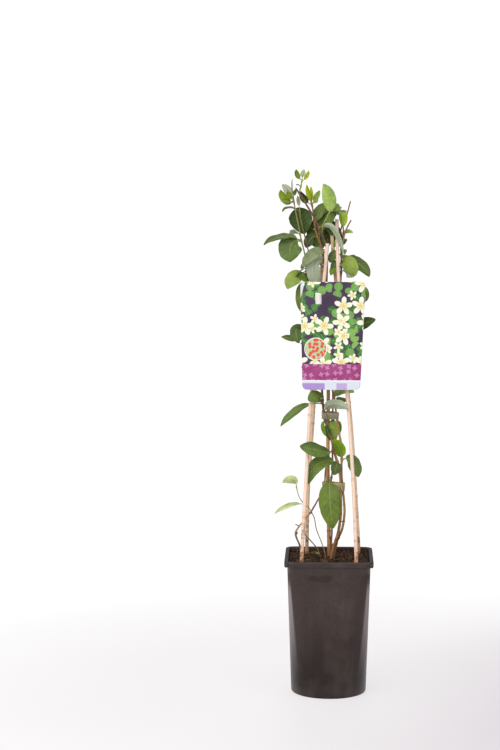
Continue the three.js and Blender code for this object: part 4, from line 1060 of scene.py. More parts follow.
    "vine_bare_twig": [
        ("main", 214, (-16, -3, 219), (-20, -5, 217), 5, (0, -0.6, 0.8), "young", "shoot"),
    ],
}
print("leaves:", sum(len(leaves) for leaves in LEAVES.values()))

# %% [markdown]
# ## One leaf
# A honeysuckle leaf is a thin oval blade with a clear midrib, six or seven pairs of side veins that
# sweep towards the tip, and a short stalk. A flat card with a leaf picture would do for a hedge far away,
# but this plant is seen from every side, so each blade is a real thin solid. A fine grid is bent along
# the midrib, lifted at the edges, rippled, and swollen between the veins. The stalk runs on under the
# blade as a tapered rib.

# %% Leaf shape
BLADE_THICKNESS = 0.4
TIP_HALF_WIDTH = 0.3
BLADE_BLUNTNESS = 0.62
VEIN_PAIRS = 6.5
VEIN_SWEEP = 1.5
LONGEST_STALK_SHARE = 0.3
RIB_SHARE = 0.92
ROW_STEP, FEWEST_ROWS, MOST_ROWS = 1.15, 12, 46
COLUMN_STEP, FEWEST_COLUMNS, MOST_COLUMNS = 0.95, 4, 13
# Each kind: the lift of its halves, the ripple of its edge, how much fuller it is near its base than
# near its tip, and the length of its stalk.
LEAF_KINDS = {
    "mature": (0.16, 0.05, 0.3, 7), "pale": (0.1, 0.04, 0.3, 7), "young": (0.34, 0.03, 0.2, 4),
    "spoon": (0.12, 0.05, -0.7, 9), "stalked": (0.12, 0.04, 0.1, 22), "sessile": (0.1, 0.02, 0.3, 1),
    "broad": (0.12, 0.05, 0.35, 13), "folded": (0.42, 0.03, -0.5, 14),
}


def bent_midrib(root, bend, tip):
    """The midrib's curve as a function of the share of its length, and that length."""
    t = np.linspace(0, 1, 161)[:, None]
    bend, tip = np.asarray(bend, float), np.asarray(tip, float)
    curve = (1 - t) ** 2 * root + 2 * t * (1 - t) * bend + t ** 2 * tip
    run = np.concatenate([[0], np.cumsum(np.linalg.norm(np.diff(curve, axis=0), axis=1))])
    ahead = unit(np.gradient(curve, axis=0))

    def at(shares):
        spots = np.asarray(shares, float) * run[-1]
        place = np.column_stack([np.interp(spots, run, curve[:, axis]) for axis in range(3)])
        heading = np.column_stack([np.interp(spots, run, ahead[:, axis]) for axis in range(3)])
        return place, unit(heading)
    return at, run[-1]


def blade_half_width(share, width, fuller):
    """Half the blade's width: a blunt ellipse, fuller at one end and drawn out a little at its tip."""
    ellipse = np.clip(4 * share * (1 - share), 0, 1) ** BLADE_BLUNTNESS
    point = 1 - 0.22 * np.clip((share - 0.72) / 0.28, 0, 1) ** 1.5
    return np.maximum(TIP_HALF_WIDTH, 0.5 * width * ellipse * (1 + fuller * (0.5 - share)) * point)


def blade_lift(share, x, half, width, fold, wave, shift):
    """How far each point of a blade stands up from its midrib's plane."""
    off, side = np.abs(x), np.sign(x)
    between = (VEIN_PAIRS * share - VEIN_SWEEP * off ** 0.8 + 0.4 * (side < 0)) % 1
    swell = np.abs(np.sin(np.pi * between)) - 0.6
    inner = np.sin(np.pi * np.clip(off * 1.1, 0, 1)) * np.clip(6 * share * (1 - share), 0, 1)
    folded = fold * half * off ** 1.25
    waves = wave * width * np.sin(9 * share) * off ** 2 + side * wave * half * off ** 2
    ripples = 0.016 * width * np.sin(19 * share + shift + 2 * side) * off ** 3
    quilting = 0.014 * width * swell * inner
    groove = 0.018 * width * np.exp(-(off / 0.07) ** 2) * np.clip(5 * (1 - share), 0, 1)
    rolled_edge = 0.03 * width * off ** 10
    return folded + waves + ripples + quilting - groove - rolled_edge


def add_leaf(leaves, root, bend, tip, width, face, kind, tone):
    """Adds one leaf: its blade, its stalk and the rib under it."""
    at, length = bent_midrib(root, bend, tip)
    fold, wave, fuller, stalk = LEAF_KINDS[kind]
    stalk_share = min(stalk / length, LONGEST_STALK_SHARE)
    rows = int(np.clip(length * (1 - stalk_share) / ROW_STEP, FEWEST_ROWS, MOST_ROWS))
    half_columns = int(np.clip(width / 2 / COLUMN_STEP, FEWEST_COLUMNS, MOST_COLUMNS))
    share = (0.5 - 0.5 * np.cos(np.linspace(0, np.pi, rows)))[:, None]
    x = np.linspace(-1, 1, 2 * half_columns + 1)[None, :]
    # The fourth angle is spare, but it is drawn, because every later leaf depends on it.
    shift = chance.uniform(0, ANY_ANGLE, 4)
    seed = chance.random()
    half = blade_half_width(share, width, fuller)
    half = half * (1 + 0.012 * np.sin(31 * share + shift[0]) + 0.008 * np.sin(57 * share + shift[1]))
    place, ahead = at(stalk_share + (1 - stalk_share) * share[:, 0])
    face = np.asarray(face, float)
    up = unit(face - ahead * (ahead @ face)[:, None])
    across = np.cross(up, ahead)
    twist = chance.uniform(-0.12, 0.12) * (share - 0.3)
    spread = -x * half * np.cos(twist)
    lift = blade_lift(share, x, half, width, fold, wave, shift[2]) - x * half * np.sin(twist)
    top = place[:, None] + across[:, None] * spread[..., None] + up[:, None] * lift[..., None]
    thick = BLADE_THICKNESS * (1 - 0.6 * np.abs(x) ** 6) * np.ones_like(share)
    under = top - up[:, None] * thick[..., None]
    add_sheet(leaves, top, under, np.broadcast_to(x, thick.shape), share, seed, tone)
    add_stalk(leaves, at, up[0], stalk_share, width, seed, tone)


def add_sheet(leaves, top, under, x, share, seed, tone):
    """Adds a blade from its two faces: the upper in the first finish, the rest in the second."""
    upper, rim = sheet_faces(*top.shape[:2])
    lower = upper[:, ::-1] + x.size
    blade = np.stack([x, np.broadcast_to(share, x.shape), np.full(x.shape, seed)], -1).reshape(-1, 3)
    leaves.add(np.stack([top, under]), np.concatenate([upper, lower, rim]).tolist(),
               [0] * len(upper) + [1] * (len(lower) + len(rim)),
               blade=np.vstack([blade, blade]), tone=TONES[tone][:3])


def add_stalk(leaves, at, first_up, stalk_share, width, seed, tone):
    """Adds the stalk, which runs on under the blade as its midrib."""
    shares = np.linspace(0, stalk_share + (1 - stalk_share) * RIB_SHARE, 22)
    line, ahead = at(shares)
    size = 0.5 + 0.016 * width
    radii = np.interp(shares, [0, stalk_share, 1], [size * 1.25, size, 0.18])
    drop = np.interp(shares, [0, stalk_share, 1], [0.1, 0.5, 0.42])
    line = line - first_up * drop[:, None]
    points, faces = skin(ring_stack(line, radii, 7))
    blade = np.zeros((len(points), 3))
    blade[:, 2] = seed
    pale = 0.55 * np.array(TONES[tone][:3]) + 0.45 * np.array(TONES["light"][:3])
    leaves.add(points, faces, 2, blade=blade, tone=pale)

# %% [markdown]
# ## One stem
# Honeysuckle stems start green or purple, turn tan in their second year and then shed their bark in thin
# papery strips. A smooth cylinder shows none of that. So each stem is a tube that swells at every pair
# of leaves, with low ridges along it, a small bud in each leaf's corner and, low down, real strips of
# loose bark that stand off a little.

# %% Stem parts
STEM_STEP = 1.6
STEM_SIDES = 14
NODE_SWELL = 0.45
NODE_REACH = 2.4
PEELING_ABOVE, PEELING_BELOW = 212, 455
PEELING_FROM_RADIUS = 1.4
STRIP_SPACING = 26
STRIP_TONES = ["straw", "brown", "rust", "umber"]
BUD_FROM_WIDTH = 11
BUD_SIDES = 9
BUD_GIRTH = np.array([0.5, 0.85, 1.0, 0.98, 0.86, 0.68, 0.46, 0.24, 0.05])
KNOT_GIRTH = np.array([1.15, 1.1, 0.9, 0.82, 0.85, 0.5])


def stem_tones(names, places):
    """The stem's tone at each place, between the named tones from root to tip."""
    rows = np.array([TONES[name][:3] for name in names.split()])
    spots = np.linspace(0, 1, len(rows))
    return np.column_stack([np.interp(places, spots, rows[:, channel]) for channel in range(3)])


def add_stem(stems, points, radii, tones, nodes_at):
    """Adds one stem, swollen where its leaves stand, and returns its line and its radius along it."""
    line, places = smooth_line(points, STEM_STEP)
    size = np.interp(places, [0, 1], radii)
    swell = np.zeros(len(line))
    for height in nodes_at:
        spot = point_at_height(points, height)[0]
        swell = np.maximum(swell, np.exp(-(np.linalg.norm(line - spot, axis=1) / NODE_REACH) ** 2))
    size = size * (1 + NODE_SWELL * swell)
    angles = 2 * np.pi * np.arange(STEM_SIDES) / STEM_SIDES
    turn = chance.uniform(0, ANY_ANGLE)
    height = line[:, 2:]
    ridges = (0.045 * np.sin(3 * angles[None, :] + turn + 0.05 * height)
              + 0.03 * np.sin(5 * angles[None, :] + 0.11 * height + 2 * turn))
    grain = 0.035 * chance.standard_normal((len(line), STEM_SIDES))
    old = np.clip((500 - height) / 250, 0.25, 1)
    thick = size[:, None] * (1 + (ridges + grain) * old)
    thick[-1] *= 0.55
    points_out, faces = skin(ring_stack(line, thick, STEM_SIDES))
    stems.add(points_out, faces, 0, tone=per_ring(stem_tones(tones, places), STEM_SIDES))
    return line, size


def add_bud(stems, spot, heading, size, tone):
    """Adds a pointed bud, a little flattened."""
    line = np.asarray(spot) + np.outer(np.linspace(0, 1, len(BUD_GIRTH)), heading) * size
    flattened = 1 + 0.14 * np.cos(2 * 2 * np.pi * np.arange(BUD_SIDES) / BUD_SIDES)[None, :]
    radii = BUD_GIRTH[:, None] * size * 0.27 * flattened
    stems.add(*skin(ring_stack(line, radii, BUD_SIDES)), 0, tone=TONES[tone][:3])


def add_strip(stems, line, size, start, steps):
    """Adds a papery strip of loose bark along part of a stem."""
    part = line[start:start + steps]
    if len(part) < 4:
        return
    along = unit(np.gradient(part, axis=0))
    angle = chance.uniform(0, 2 * np.pi)
    across = unit(np.cross(along, [0.3, 0.4, 0.1]))
    out = across * np.cos(angle) + np.cross(along, across) * np.sin(angle)
    flat = np.cross(along, out)
    shares = np.linspace(0, 1, len(part))[:, None]
    lift = size[start:start + steps][:, None] + 0.1 + 0.9 * np.abs(shares - 0.4) ** 1.6
    half = 0.55 * np.clip(6 * shares * (1.02 - shares), 0.15, 1)
    middle = part + out * lift
    stack = np.stack([middle - flat * half, middle - out * 0.16, middle + flat * half,
                      middle + out * 0.2], axis=1)
    tone = TONES[STRIP_TONES[int(chance.integers(len(STRIP_TONES)))]][:3]
    stems.add(*skin(stack), 0, tone=tone)


def stem_line(stems, name):
    """A stem's points, with the point where it leaves its parent stem put first."""
    spec = stems[name]
    if "on" not in spec:
        return spec["points"]
    parent, height = spec["on"]
    return [tuple(point_at_height(stem_line(stems, parent), height)[0]), *spec["points"]]

# %% Knots and stubs of each vine: where, which way, how long, its radius and its tone
KNOTS = {
    "vine_left": [((-50, -20, 252), (-0.9, -0.3, 0.3), 3.0, 2.2, "umber"),
                  ((-48, -21, 264), (-0.9, -0.2, 0.5), 5.0, 0.9, "brown"),
                  ((-36, -19, 276), (-0.6, -0.2, 0.8), 7.0, 0.7, "brown"),
                  ((-29, -17, 284), (0.5, -0.4, -0.4), 2.5, 1.8, "umber")],
    "vine_middle": [((2, -6, 243), (-0.7, -0.6, 0.3), 2.6, 1.8, "umber"),
                    ((5, -6, 232), (0.4, -0.9, 0.2), 2.4, 1.7, "umber")],
    "vine_front": [((12, -8, 240), (-0.6, -0.6, 0.5), 3.2, 2.0, "umber"),
                   ((17, -10, 268), (0.7, -0.5, 0.4), 4.0, 1.0, "brown")],
    "vine_right": [((22, -5, 268), (0.8, -0.4, 0.4), 3.4, 1.8, "brown"),
                   ((15, -4, 242), (0.6, -0.6, 0.4), 2.6, 1.8, "umber")],
}


def add_knot(stems, spot, way, length, radius, tone):
    """Adds the stub or knot left by a lost side shoot."""
    shares = np.linspace(0, 1, len(KNOT_GIRTH))
    way = unit(np.asarray(way, float))
    line = np.asarray(spot, float) - way * 0.8 + np.outer(shares, way) * (length + 0.8)
    rough = 1 + 0.1 * chance.standard_normal((len(KNOT_GIRTH), BUD_SIDES))
    radii = (KNOT_GIRTH * radius)[:, None] * rough
    stems.add(*skin(ring_stack(line, radii, BUD_SIDES)), 0, tone=TONES[tone][:3])

# %% [markdown]
# ### The leaf's finish
# The upper side of a honeysuckle leaf is a satin green, darker where it is older, with the midrib and
# the side veins drawn in a paler line and sunk a little. The underside is greyer and matt, and there the
# veins stand out. Two materials share one node group that draws the veins from each blade's own grid, so
# a vein always runs where the blade is bent, whatever its size. On most leaves one half is a little
# lighter than the other, as the two halves of a folded blade never catch the same light.

# %% Leaf veins: a midrib, its laterals and a fine net, from a blade's own grid
veins, given, result = new_group("leaf veins", {"Blade": None, "Pairs": VEIN_PAIRS, "Sweep": VEIN_SWEEP},
                                 ["Midrib", "Laterals", "Net", "Height"])
parts = split(veins, given["Blade"])
off = calc(veins, "ABSOLUTE", parts["X"])
left = calc(veins, "LESS_THAN", parts["X"], 0.0)
to_tip = ramp(veins, parts["Y"], 1.02, 0.6)
midrib = times(veins, ramp(veins, off, 0.09, 0.025), to_tip)
veins.links.new(midrib, result["Midrib"])
bent = times(veins, calc(veins, "POWER", off, 0.8), given["Sweep"])
turned = calc(veins, "SUBTRACT", times(veins, parts["Y"], given["Pairs"]), bent)
phase = calc(veins, "FRACT", scale_add(veins, left, 0.4, calc(veins, "ADD", turned, 8.0)))
gap = calc(veins, "PINGPONG", phase, 0.5)
edge_fade = ramp(veins, off, 0.97, 0.6)
laterals = times(veins, ramp(veins, gap, 0.085, 0.015), edge_fade)
veins.links.new(laterals, result["Laterals"])
stretched = vector_calc(veins, "MULTIPLY", given["Blade"], (5.0, 13.0, 40.0))
cells = add_node(veins, "ShaderNodeTexVoronoi", {"Vector": stretched, "Scale": 1.6, "Randomness": 0.9},
                 feature="DISTANCE_TO_EDGE").outputs["Distance"]
net = times(veins, ramp(veins, cells, 0.09, 0.015), edge_fade)
veins.links.new(net, result["Net"])
sunk = calc(veins, "ADD", midrib, scale_add(veins, net, 0.25, laterals), clamp=True)
veins.links.new(sunk, result["Height"])

# %% Leaf materials
UPPER_SHINE, UNDER_SHINE = 0.34, 0.25
UPPER_ROUGHNESS, UNDER_ROUGHNESS = 0.4, 0.65


def leaf_finish(name, underside):
    """One side of a leaf, coloured by the tone kept on its blade."""
    material, tree, shader = new_material(name, Specular_IOR_Level=UNDER_SHINE if underside
                                          else UPPER_SHINE)
    blade = kept(tree, "blade", "Vector")
    own = kept(tree, "tone")
    where = position(tree)
    parts = split(tree, blade)
    drawn = place_group(tree, veins, blade=blade)
    patchy = mottled(tree, where, 700.0, parts["Z"])
    shade = multiplied(tree, own, 0.66, 0.72, 0.62)
    glow = multiplied(tree, own, 1.42, 1.32, 1.05)
    lean = calc(tree, "SINE", times(tree, parts["Z"], 40.0))
    lit_half = times(tree, parts["X"], lean, 0.45)
    lit_share = calc(tree, "ADD", lit_half, scale_add(tree, patchy["Broad"], 0.7, 0.15),
                     clamp=True)
    body = mix(tree, lit_share, shade, glow)
    body = mix(tree, times(tree, patchy["Fine"], 0.25), body, own)
    if underside:
        body = mix(tree, 0.62, body, srgb(204, 210, 190))
        pale, line_share = srgb(220, 222, 196), 0.3
    else:
        pale, line_share = srgb(184, 198, 126), 0.17
    lines = calc(tree, "ADD", times(tree, drawn["Midrib"], 3.0),
                 scale_add(tree, drawn["Net"], 0.2, drawn["Laterals"]))
    colour = mix(tree, times(tree, lines, line_share), body, pale)
    worn_edge = times(tree, ramp(tree, calc(tree, "ABSOLUTE", parts["X"]), 0.93, 1.0), 0.35)
    colour = mix(tree, worn_edge, colour, srgb(150, 140, 92))
    rough = scale_add(tree, patchy["Fine"], 0.12,
                 UNDER_ROUGHNESS if underside else UPPER_ROUGHNESS)
    height = times(tree, drawn["Height"], 1.0 if underside else -1.0)
    height = scale_add(tree, patchy["Fine"], 0.15, height)
    wire(tree, shader, colour, rough, height, 0.00022)
    return material


leaf_upper = leaf_finish("leaf upper side", False)
leaf_under = leaf_finish("leaf underside", True)
print("leaf finishes:", leaf_upper.name, "and", leaf_under.name)

leaf_stalk, tree, shader = new_material("leaf stalk", Specular_IOR_Level=0.4)
own = kept(tree, "tone")
where = position(tree)
patchy = mottled(tree, where, 1200.0, 9.0)
colour = mix(tree, times(tree, patchy["Broad"], 0.35), own, srgb(150, 120, 92))
wire(tree, shader, colour, scale_add(tree, patchy["Fine"], 0.1, 0.5), patchy["Fine"], 0.00005)

# %% Bark material
bark, tree, shader = new_material("stem bark", Specular_IOR_Level=0.3)
own = kept(tree, "tone")
where = position(tree)
fibre = place_group(tree, streaks, place=where, fineness=1500.0, stretch=0.05)
patchy = mottled(tree, where, 520.0, 12.0)
dark = multiplied(tree, own, 0.62, 0.55, 0.48)
light = mix(tree, 0.42, own, srgb(238, 196, 144))
colour = mix(tree, fibre["Fibres"], dark, light)
colour = mix(tree, scale_add(tree, patchy["Broad"], 0.4, 0.3), own, colour)
colour = mix(tree, times(tree, ramp(tree, patchy["Fine"], 0.72, 0.9), 0.5), colour, dark)
height = scale_add(tree, patchy["Fine"], 0.4, fibre["Fibres"])
wire(tree, shader, colour, scale_add(tree, fibre["Fibres"], 0.15, 0.55), height, 0.00018)

# %% Grow every vine
for name, specs in STEMS.items():
    stems = Gathered(tone=3)
    leaves = Gathered(blade=3, tone=3)
    lines = {part: stem_line(specs, part) for part in specs}
    for part, points in lines.items():
        heights = [row[1] for row in LEAVES[name] if row[0] == part]
        line, size = add_stem(stems, points, specs[part]["radii"], specs[part]["tones"], heights)
        loose = np.flatnonzero((line[:, 2] < PEELING_BELOW) & (line[:, 2] > PEELING_ABOVE))
        if specs[part]["radii"][0] >= PEELING_FROM_RADIUS and len(loose):
            for start in range(loose[0], loose[-1], int(STRIP_SPACING / STEM_STEP)):
                add_strip(stems, line, size, start + int(chance.integers(8)), int(chance.integers(5, 15)))
    for knot in KNOTS.get(name, []):
        add_knot(stems, *knot)
    for part, height, bend, tip, width, face, kind, tone in LEAVES[name]:
        root, along = point_at_height(lines[part], height)
        add_leaf(leaves, root, bend, tip, width, face, kind, tone)
        if width >= BUD_FROM_WIDTH:
            away = unit(unit(np.asarray(bend, float) - root) + along)
            add_bud(stems, root + away * 0.8, away, chance.uniform(2.6, 4.2), "shoot")
    settle(stems.build(name + "_stems", [bark]), "bark", name)
    settle(leaves.build(name + "_leaves", [leaf_upper, leaf_under, leaf_stalk]),
           "pale_foliage" if name == "vine_seedling" else "foliage", name)

# %% [markdown]
# ## The ties
# The gardener winds a soft woven tape a few times round the stems and the short cane, and once more
# round the tops of the long canes, and folds its end down in front. One thick ring would look like a
# pipe clamp. So the path of the tape is the outline that a tight cord would take round the stems, and
# each turn is a thin strip on that path, a little crumpled, with its own height, tilt and tone.

# %% Paths of the tape
TIE_GAP = 0.35
LOOP_POINTS = 150
LOW_BUNDLE = ["cane_centre", "vine_front", "vine_right", "vine_middle", "vine_left"]
TOP_BUNDLE = ["cane_front_left", "cane_front_right", "cane_back_left", "cane_back_right",
              "vine_front", "vine_middle", "vine_right"]
# Each turn: its bottom and top height, its tilt and its tone.
TIES = {
    "tie_lower": {"of": LOW_BUNDLE, "between": (316, 330), "turns": [
        (316.4, 322.4, 0.5, (172, 160, 128)), (319.8, 326.4, -0.7, (186, 174, 142)),
        (324.4, 329.8, 0.4, (214, 194, 122))]},
    "tie_upper": {"of": LOW_BUNDLE, "between": (428, 439), "turns": [
        (428.3, 433.2, -0.4, (140, 139, 108)), (430.8, 436.0, 0.6, (158, 154, 124)),
        (434.0, 438.7, -0.3, (172, 167, 138))]},
    "tie_top": {"of": TOP_BUNDLE, "between": (616, 622), "turns": [
        (616.2, 620.0, 0.3, (146, 142, 110)), (618.4, 621.8, -0.2, (160, 155, 126))]},
}


def tight_loop(names, low, high):
    """The outline of a cord drawn tight round the named stems, seen from above."""
    circles = []
    for name in names:
        points = CANES[name] if name in CANES else STEMS[name]["main"]["points"]
        first, last = ((CANE_BASE_RADIUS, CANE_TOP_RADIUS) if name in CANES
                       else STEMS[name]["main"]["radii"])
        for height in (low, (low + high) / 2, high):
            share = (height - points[0][2]) / (points[-1][2] - points[0][2])
            circles.append((point_at_height(points, height)[0][:2], first + (last - first) * share))
    angles = np.linspace(0, 2 * np.pi, 48, endpoint=False)
    ways = np.column_stack([np.cos(angles), np.sin(angles)])
    cloud = np.vstack([middle + ways * (radius + TIE_GAP) for middle, radius in circles])
    order = cloud[np.lexsort((cloud[:, 1], cloud[:, 0]))]

    def half(points):
        chain = []
        for point in points:
            while len(chain) > 1 and np.cross(chain[-1] - chain[-2], point - chain[-1]) <= 0:
                chain.pop()
            chain.append(point)
        return chain[:-1]
    corners = np.array(half(order) + half(order[::-1]))
    closed = np.vstack([corners, corners[:1]])
    run = np.concatenate([[0], np.cumsum(np.linalg.norm(np.diff(closed, axis=0), axis=1))])
    spots = np.linspace(0, run[-1], LOOP_POINTS, endpoint=False)
    loop = np.column_stack([np.interp(spots, run, closed[:, axis]) for axis in range(2)])
    ahead = unit(np.roll(loop, -1, axis=0) - np.roll(loop, 1, axis=0))
    return loop, np.column_stack([ahead[:, 1], -ahead[:, 0]])

# %% Turns of tape
TAPE_LAYER = 0.42
TAIL_SIDEWAYS, TAIL_HALF_WIDTH, TAIL_TAPER = 2.6, 1.7, 0.5
TAPE_SECTION = [(0, 0), (0.1, 0.12), (0.5, 0.16), (0.9, 0.12), (1, 0), (0.98, -0.5), (0.75, -1.0),
                (0.5, -1.06), (0.25, -1.0), (0.02, -0.5)]


def add_turn(tape, loop, out, low, high, tilt, layer, colour):
    """Adds one turn of the tape: a thin strip with rounded edges all the way round the path."""
    round_it = np.linspace(0, 2 * np.pi, len(loop), endpoint=False)
    phase = chance.uniform(0, ANY_ANGLE, 3)
    slope = tilt * np.sin(round_it + phase[0])
    rucked = 0.12 * np.sin(9 * round_it + phase[1]) + 0.06 * np.sin(23 * round_it + phase[2])
    far = (layer + 1) * TAPE_LAYER + 0.05
    rows = []
    for up, inward in TAPE_SECTION:
        reach = far + inward * TAPE_LAYER + rucked * 0.5 * abs(inward)
        height = low + (high - low) * up + slope + rucked * (up - 0.5)
        rows.append(np.column_stack([loop + out * reach[:, None], height]))
    stack = np.stack(rows, axis=1)
    count, sides = stack.shape[:2]
    grid = np.arange(count * sides).reshape(count, sides)
    over = np.roll(grid, -1, axis=0)
    faces = np.stack([grid, np.roll(grid, -1, axis=1), np.roll(over, -1, axis=1), over], -1)
    strip = np.column_stack([np.repeat(np.linspace(0, 1, count), sides),
                             np.tile([up for up, _ in TAPE_SECTION], count), np.zeros(count * sides)])
    tape.add(stack, faces.reshape(-1, 4)[:, ::-1].tolist(), 0, strip=strip, tone=srgb(*colour)[:3])


def add_tail(tape, loop, out, low, high, colour):
    """Adds the loose end of the tape, folded down over the front."""
    front = int(np.argmin(loop[:, 1]))
    shares = np.linspace(0, 1, 12)
    line = np.column_stack([
        loop[front, 0] + TAIL_SIDEWAYS * shares, loop[front, 1] - 1.5 - 0.9 * np.sin(np.pi * shares),
        high - 0.8 - (high - low - 1.6) * shares])
    half = TAIL_HALF_WIDTH - TAIL_TAPER * shares
    flat = np.array([1.0, 0.0, 0.25])
    stack = np.stack([line - np.outer(half, flat), line + [0, -0.22, 0], line + np.outer(half, flat),
                      line + [0, 0.22, 0]], axis=1)
    points, faces = skin(stack)
    strip = np.zeros((len(points), 3))
    strip[:, 1] = 0.5
    tape.add(points, faces, 0, strip=strip, tone=srgb(*colour)[:3])

# %% Tape material and ties
ROWS_OF_WEAVE, COLUMNS_OF_WEAVE = 7800.0, 5200.0
LAYER_SHARE = 0.7

soft_tape, tree, shader = new_material("woven tape", Specular_IOR_Level=0.25)
own = kept(tree, "tone")
where = position(tree)
patchy = mottled(tree, where, 900.0, 15.0)
parts = split(tree, where)
rows = calc(tree, "SINE", times(tree, parts["Z"], ROWS_OF_WEAVE))
columns = calc(tree, "SINE", times(tree, calc(tree, "ADD", parts["X"], parts["Y"]), COLUMNS_OF_WEAVE))
woven = ramp(tree, times(tree, rows, columns), -0.6, 0.8)
shade = multiplied(tree, own, 0.62, 0.6, 0.56)
pale = mix(tree, 0.35, own, srgb(226, 220, 192))
colour = mix(tree, woven, shade, pale)
colour = mix(tree, times(tree, patchy["Broad"], 0.4), colour, shade)
wire(tree, shader, colour, scale_add(tree, patchy["Fine"], 0.15, 0.6), woven, 0.00015)

for name, tie in TIES.items():
    low, high = tie["between"]
    path, outward = tight_loop(tie["of"], low, high)
    tape = Gathered(strip=3, tone=3)
    for layer, (bottom, top, tilt, tone) in enumerate(tie["turns"]):
        add_turn(tape, path, outward, bottom, top, tilt, layer * LAYER_SHARE, tone)
    add_tail(tape, path, outward, low, high, tie["turns"][-1][3])
    settle(tape.build(name + "_wound", [soft_tape]), "tape", name)

# %% [markdown]
# ## The printed card
# A plant label is a thin card of white plastic, wider at the top, with round corners. A tongue is cut
# free near its top, and a strap behind it folds over the tie. It hangs a little forward at the foot, and
# its top left corner has curled back. The card is one bent sheet with real thickness, so that its white
# edge shows, and the slot round the tongue is cut right through.

# %% Card shape
LABEL_TOP_Z, LABEL_BOTTOM_Z = 641, 477
LABEL_HEIGHT = LABEL_TOP_Z - LABEL_BOTTOM_Z
LABEL_TOP_HALF_WIDTH, LABEL_BOTTOM_HALF_WIDTH = 50, 44
LABEL_TOP_X, LABEL_BOTTOM_X = 4.5, 2.5
LABEL_TOP_Y, LABEL_BOTTOM_Y = -22, -37.5
LABEL_CORNER = 7
LABEL_THICKNESS = 0.8
LABEL_CURL = 6
LABEL_FLAT_SHARE = 0.2
LABEL_WAVE = 0.25
TONGUE = {"x": -17.5, "z": 615.5, "width": 9, "height": 17, "slit": 0.7}
STRAP = {"x": 0, "z": 625.5, "width": 8, "back": -14, "drop": 13}
CARD_COLUMNS = 56
CARD_ROWS = 64


def card_place(share, drop):
    """A point of the card's face, by the share of its half width and how far it is below the top."""
    down = drop / LABEL_HEIGHT
    to_edge = min(drop, LABEL_HEIGHT - drop, LABEL_CORNER)
    cut = LABEL_CORNER - math.sqrt(max(LABEL_CORNER ** 2 - (LABEL_CORNER - to_edge) ** 2, 0))
    half = LABEL_TOP_HALF_WIDTH + (LABEL_BOTTOM_HALF_WIDTH - LABEL_TOP_HALF_WIDTH) * down - cut
    x = LABEL_TOP_X + (LABEL_BOTTOM_X - LABEL_TOP_X) * down + share * half
    curl = LABEL_CURL * (1 - down) * max(0, -share - LABEL_FLAT_SHARE) ** 2
    wave = LABEL_WAVE * math.sin(3.2 * share + 4 * down)
    y = LABEL_TOP_Y + (LABEL_BOTTOM_Y - LABEL_TOP_Y) * down + curl + wave
    return np.array([x, y, LABEL_TOP_Z - drop])


ends = [LABEL_CORNER * (1 - math.cos(a)) for a in np.linspace(0, math.pi / 2, 9)]
drops = ends + list(np.linspace(ends[-1], LABEL_HEIGHT - ends[-1], CARD_ROWS)[1:-1])
drops += [LABEL_HEIGHT - end for end in ends[::-1]]
across_card = np.linspace(-1, 1, CARD_COLUMNS)
face = np.array([[card_place(share, drop) for share in across_card] for drop in drops])
# The card faces the other way from a leaf, so its faces run round backwards.
side, edge = sheet_faces(*face.shape[:2])
sheet, rim = side[:, [0, 3, 2, 1]], edge[:, [1, 0, 3, 2]]
behind = sheet[:, ::-1] + len(drops) * CARD_COLUMNS
card = Gathered()
card.add(np.stack([face, face + [0, LABEL_THICKNESS, 0]]), np.concatenate([sheet, behind, rim]).tolist())

# %% Slot and strap of the card
def block(low, high):
    """A plain block between two corners, as points and faces."""
    (x0, y0, z0), (x1, y1, z1) = low, high
    ring = [(x0, y0), (x1, y0), (x1, y1), (x0, y1)]
    return skin(np.array([[(x, y, z0) for x, y in ring], [(x, y, z1) for x, y in ring]], float))


slot_cut = Gathered()
half_slot = TONGUE["width"] / 2 + TONGUE["slit"] / 2
slot_foot = TONGUE["z"] - TONGUE["height"] / 2
slot_top = TONGUE["z"] + TONGUE["height"] / 2 + TONGUE["slit"] / 2
slot_cut.add(*block((TONGUE["x"] - half_slot, -50, slot_foot), (TONGUE["x"] + half_slot, 0, slot_top)))

face_y = float(np.interp(STRAP["z"], [LABEL_BOTTOM_Z, LABEL_TOP_Z], [LABEL_BOTTOM_Y, LABEL_TOP_Y]))
fold = [(face_y + 0.5, 0), (STRAP["back"] - 1.2, 0), (STRAP["back"] - 0.3, -0.3), (STRAP["back"], -1.2),
        (STRAP["back"], -STRAP["drop"] * 0.6), (STRAP["back"] - 0.2, -STRAP["drop"])]
outside = [(y, STRAP["z"] + LABEL_THICKNESS / 2 + z) for y, z in fold]
inside = [(y - (LABEL_THICKNESS if z < -0.5 else LABEL_THICKNESS * 0.6 if z < 0 else 0),
           STRAP["z"] + LABEL_THICKNESS / 2 + z - (LABEL_THICKNESS if z > -0.5 else 0)) for y, z in fold]
left_x, right_x = STRAP["x"] - STRAP["width"] / 2, STRAP["x"] + STRAP["width"] / 2
card_strap = Gathered()
card_strap.add(*skin(np.array([[(left_x, *a), (right_x, *a), (right_x, *b), (left_x, *b)]
                               for a, b in zip(outside, inside)])))

# %% The tongue, bent out a little at its free top end
TONGUE_SET_BACK, TONGUE_BEND = 0.15, 1.5

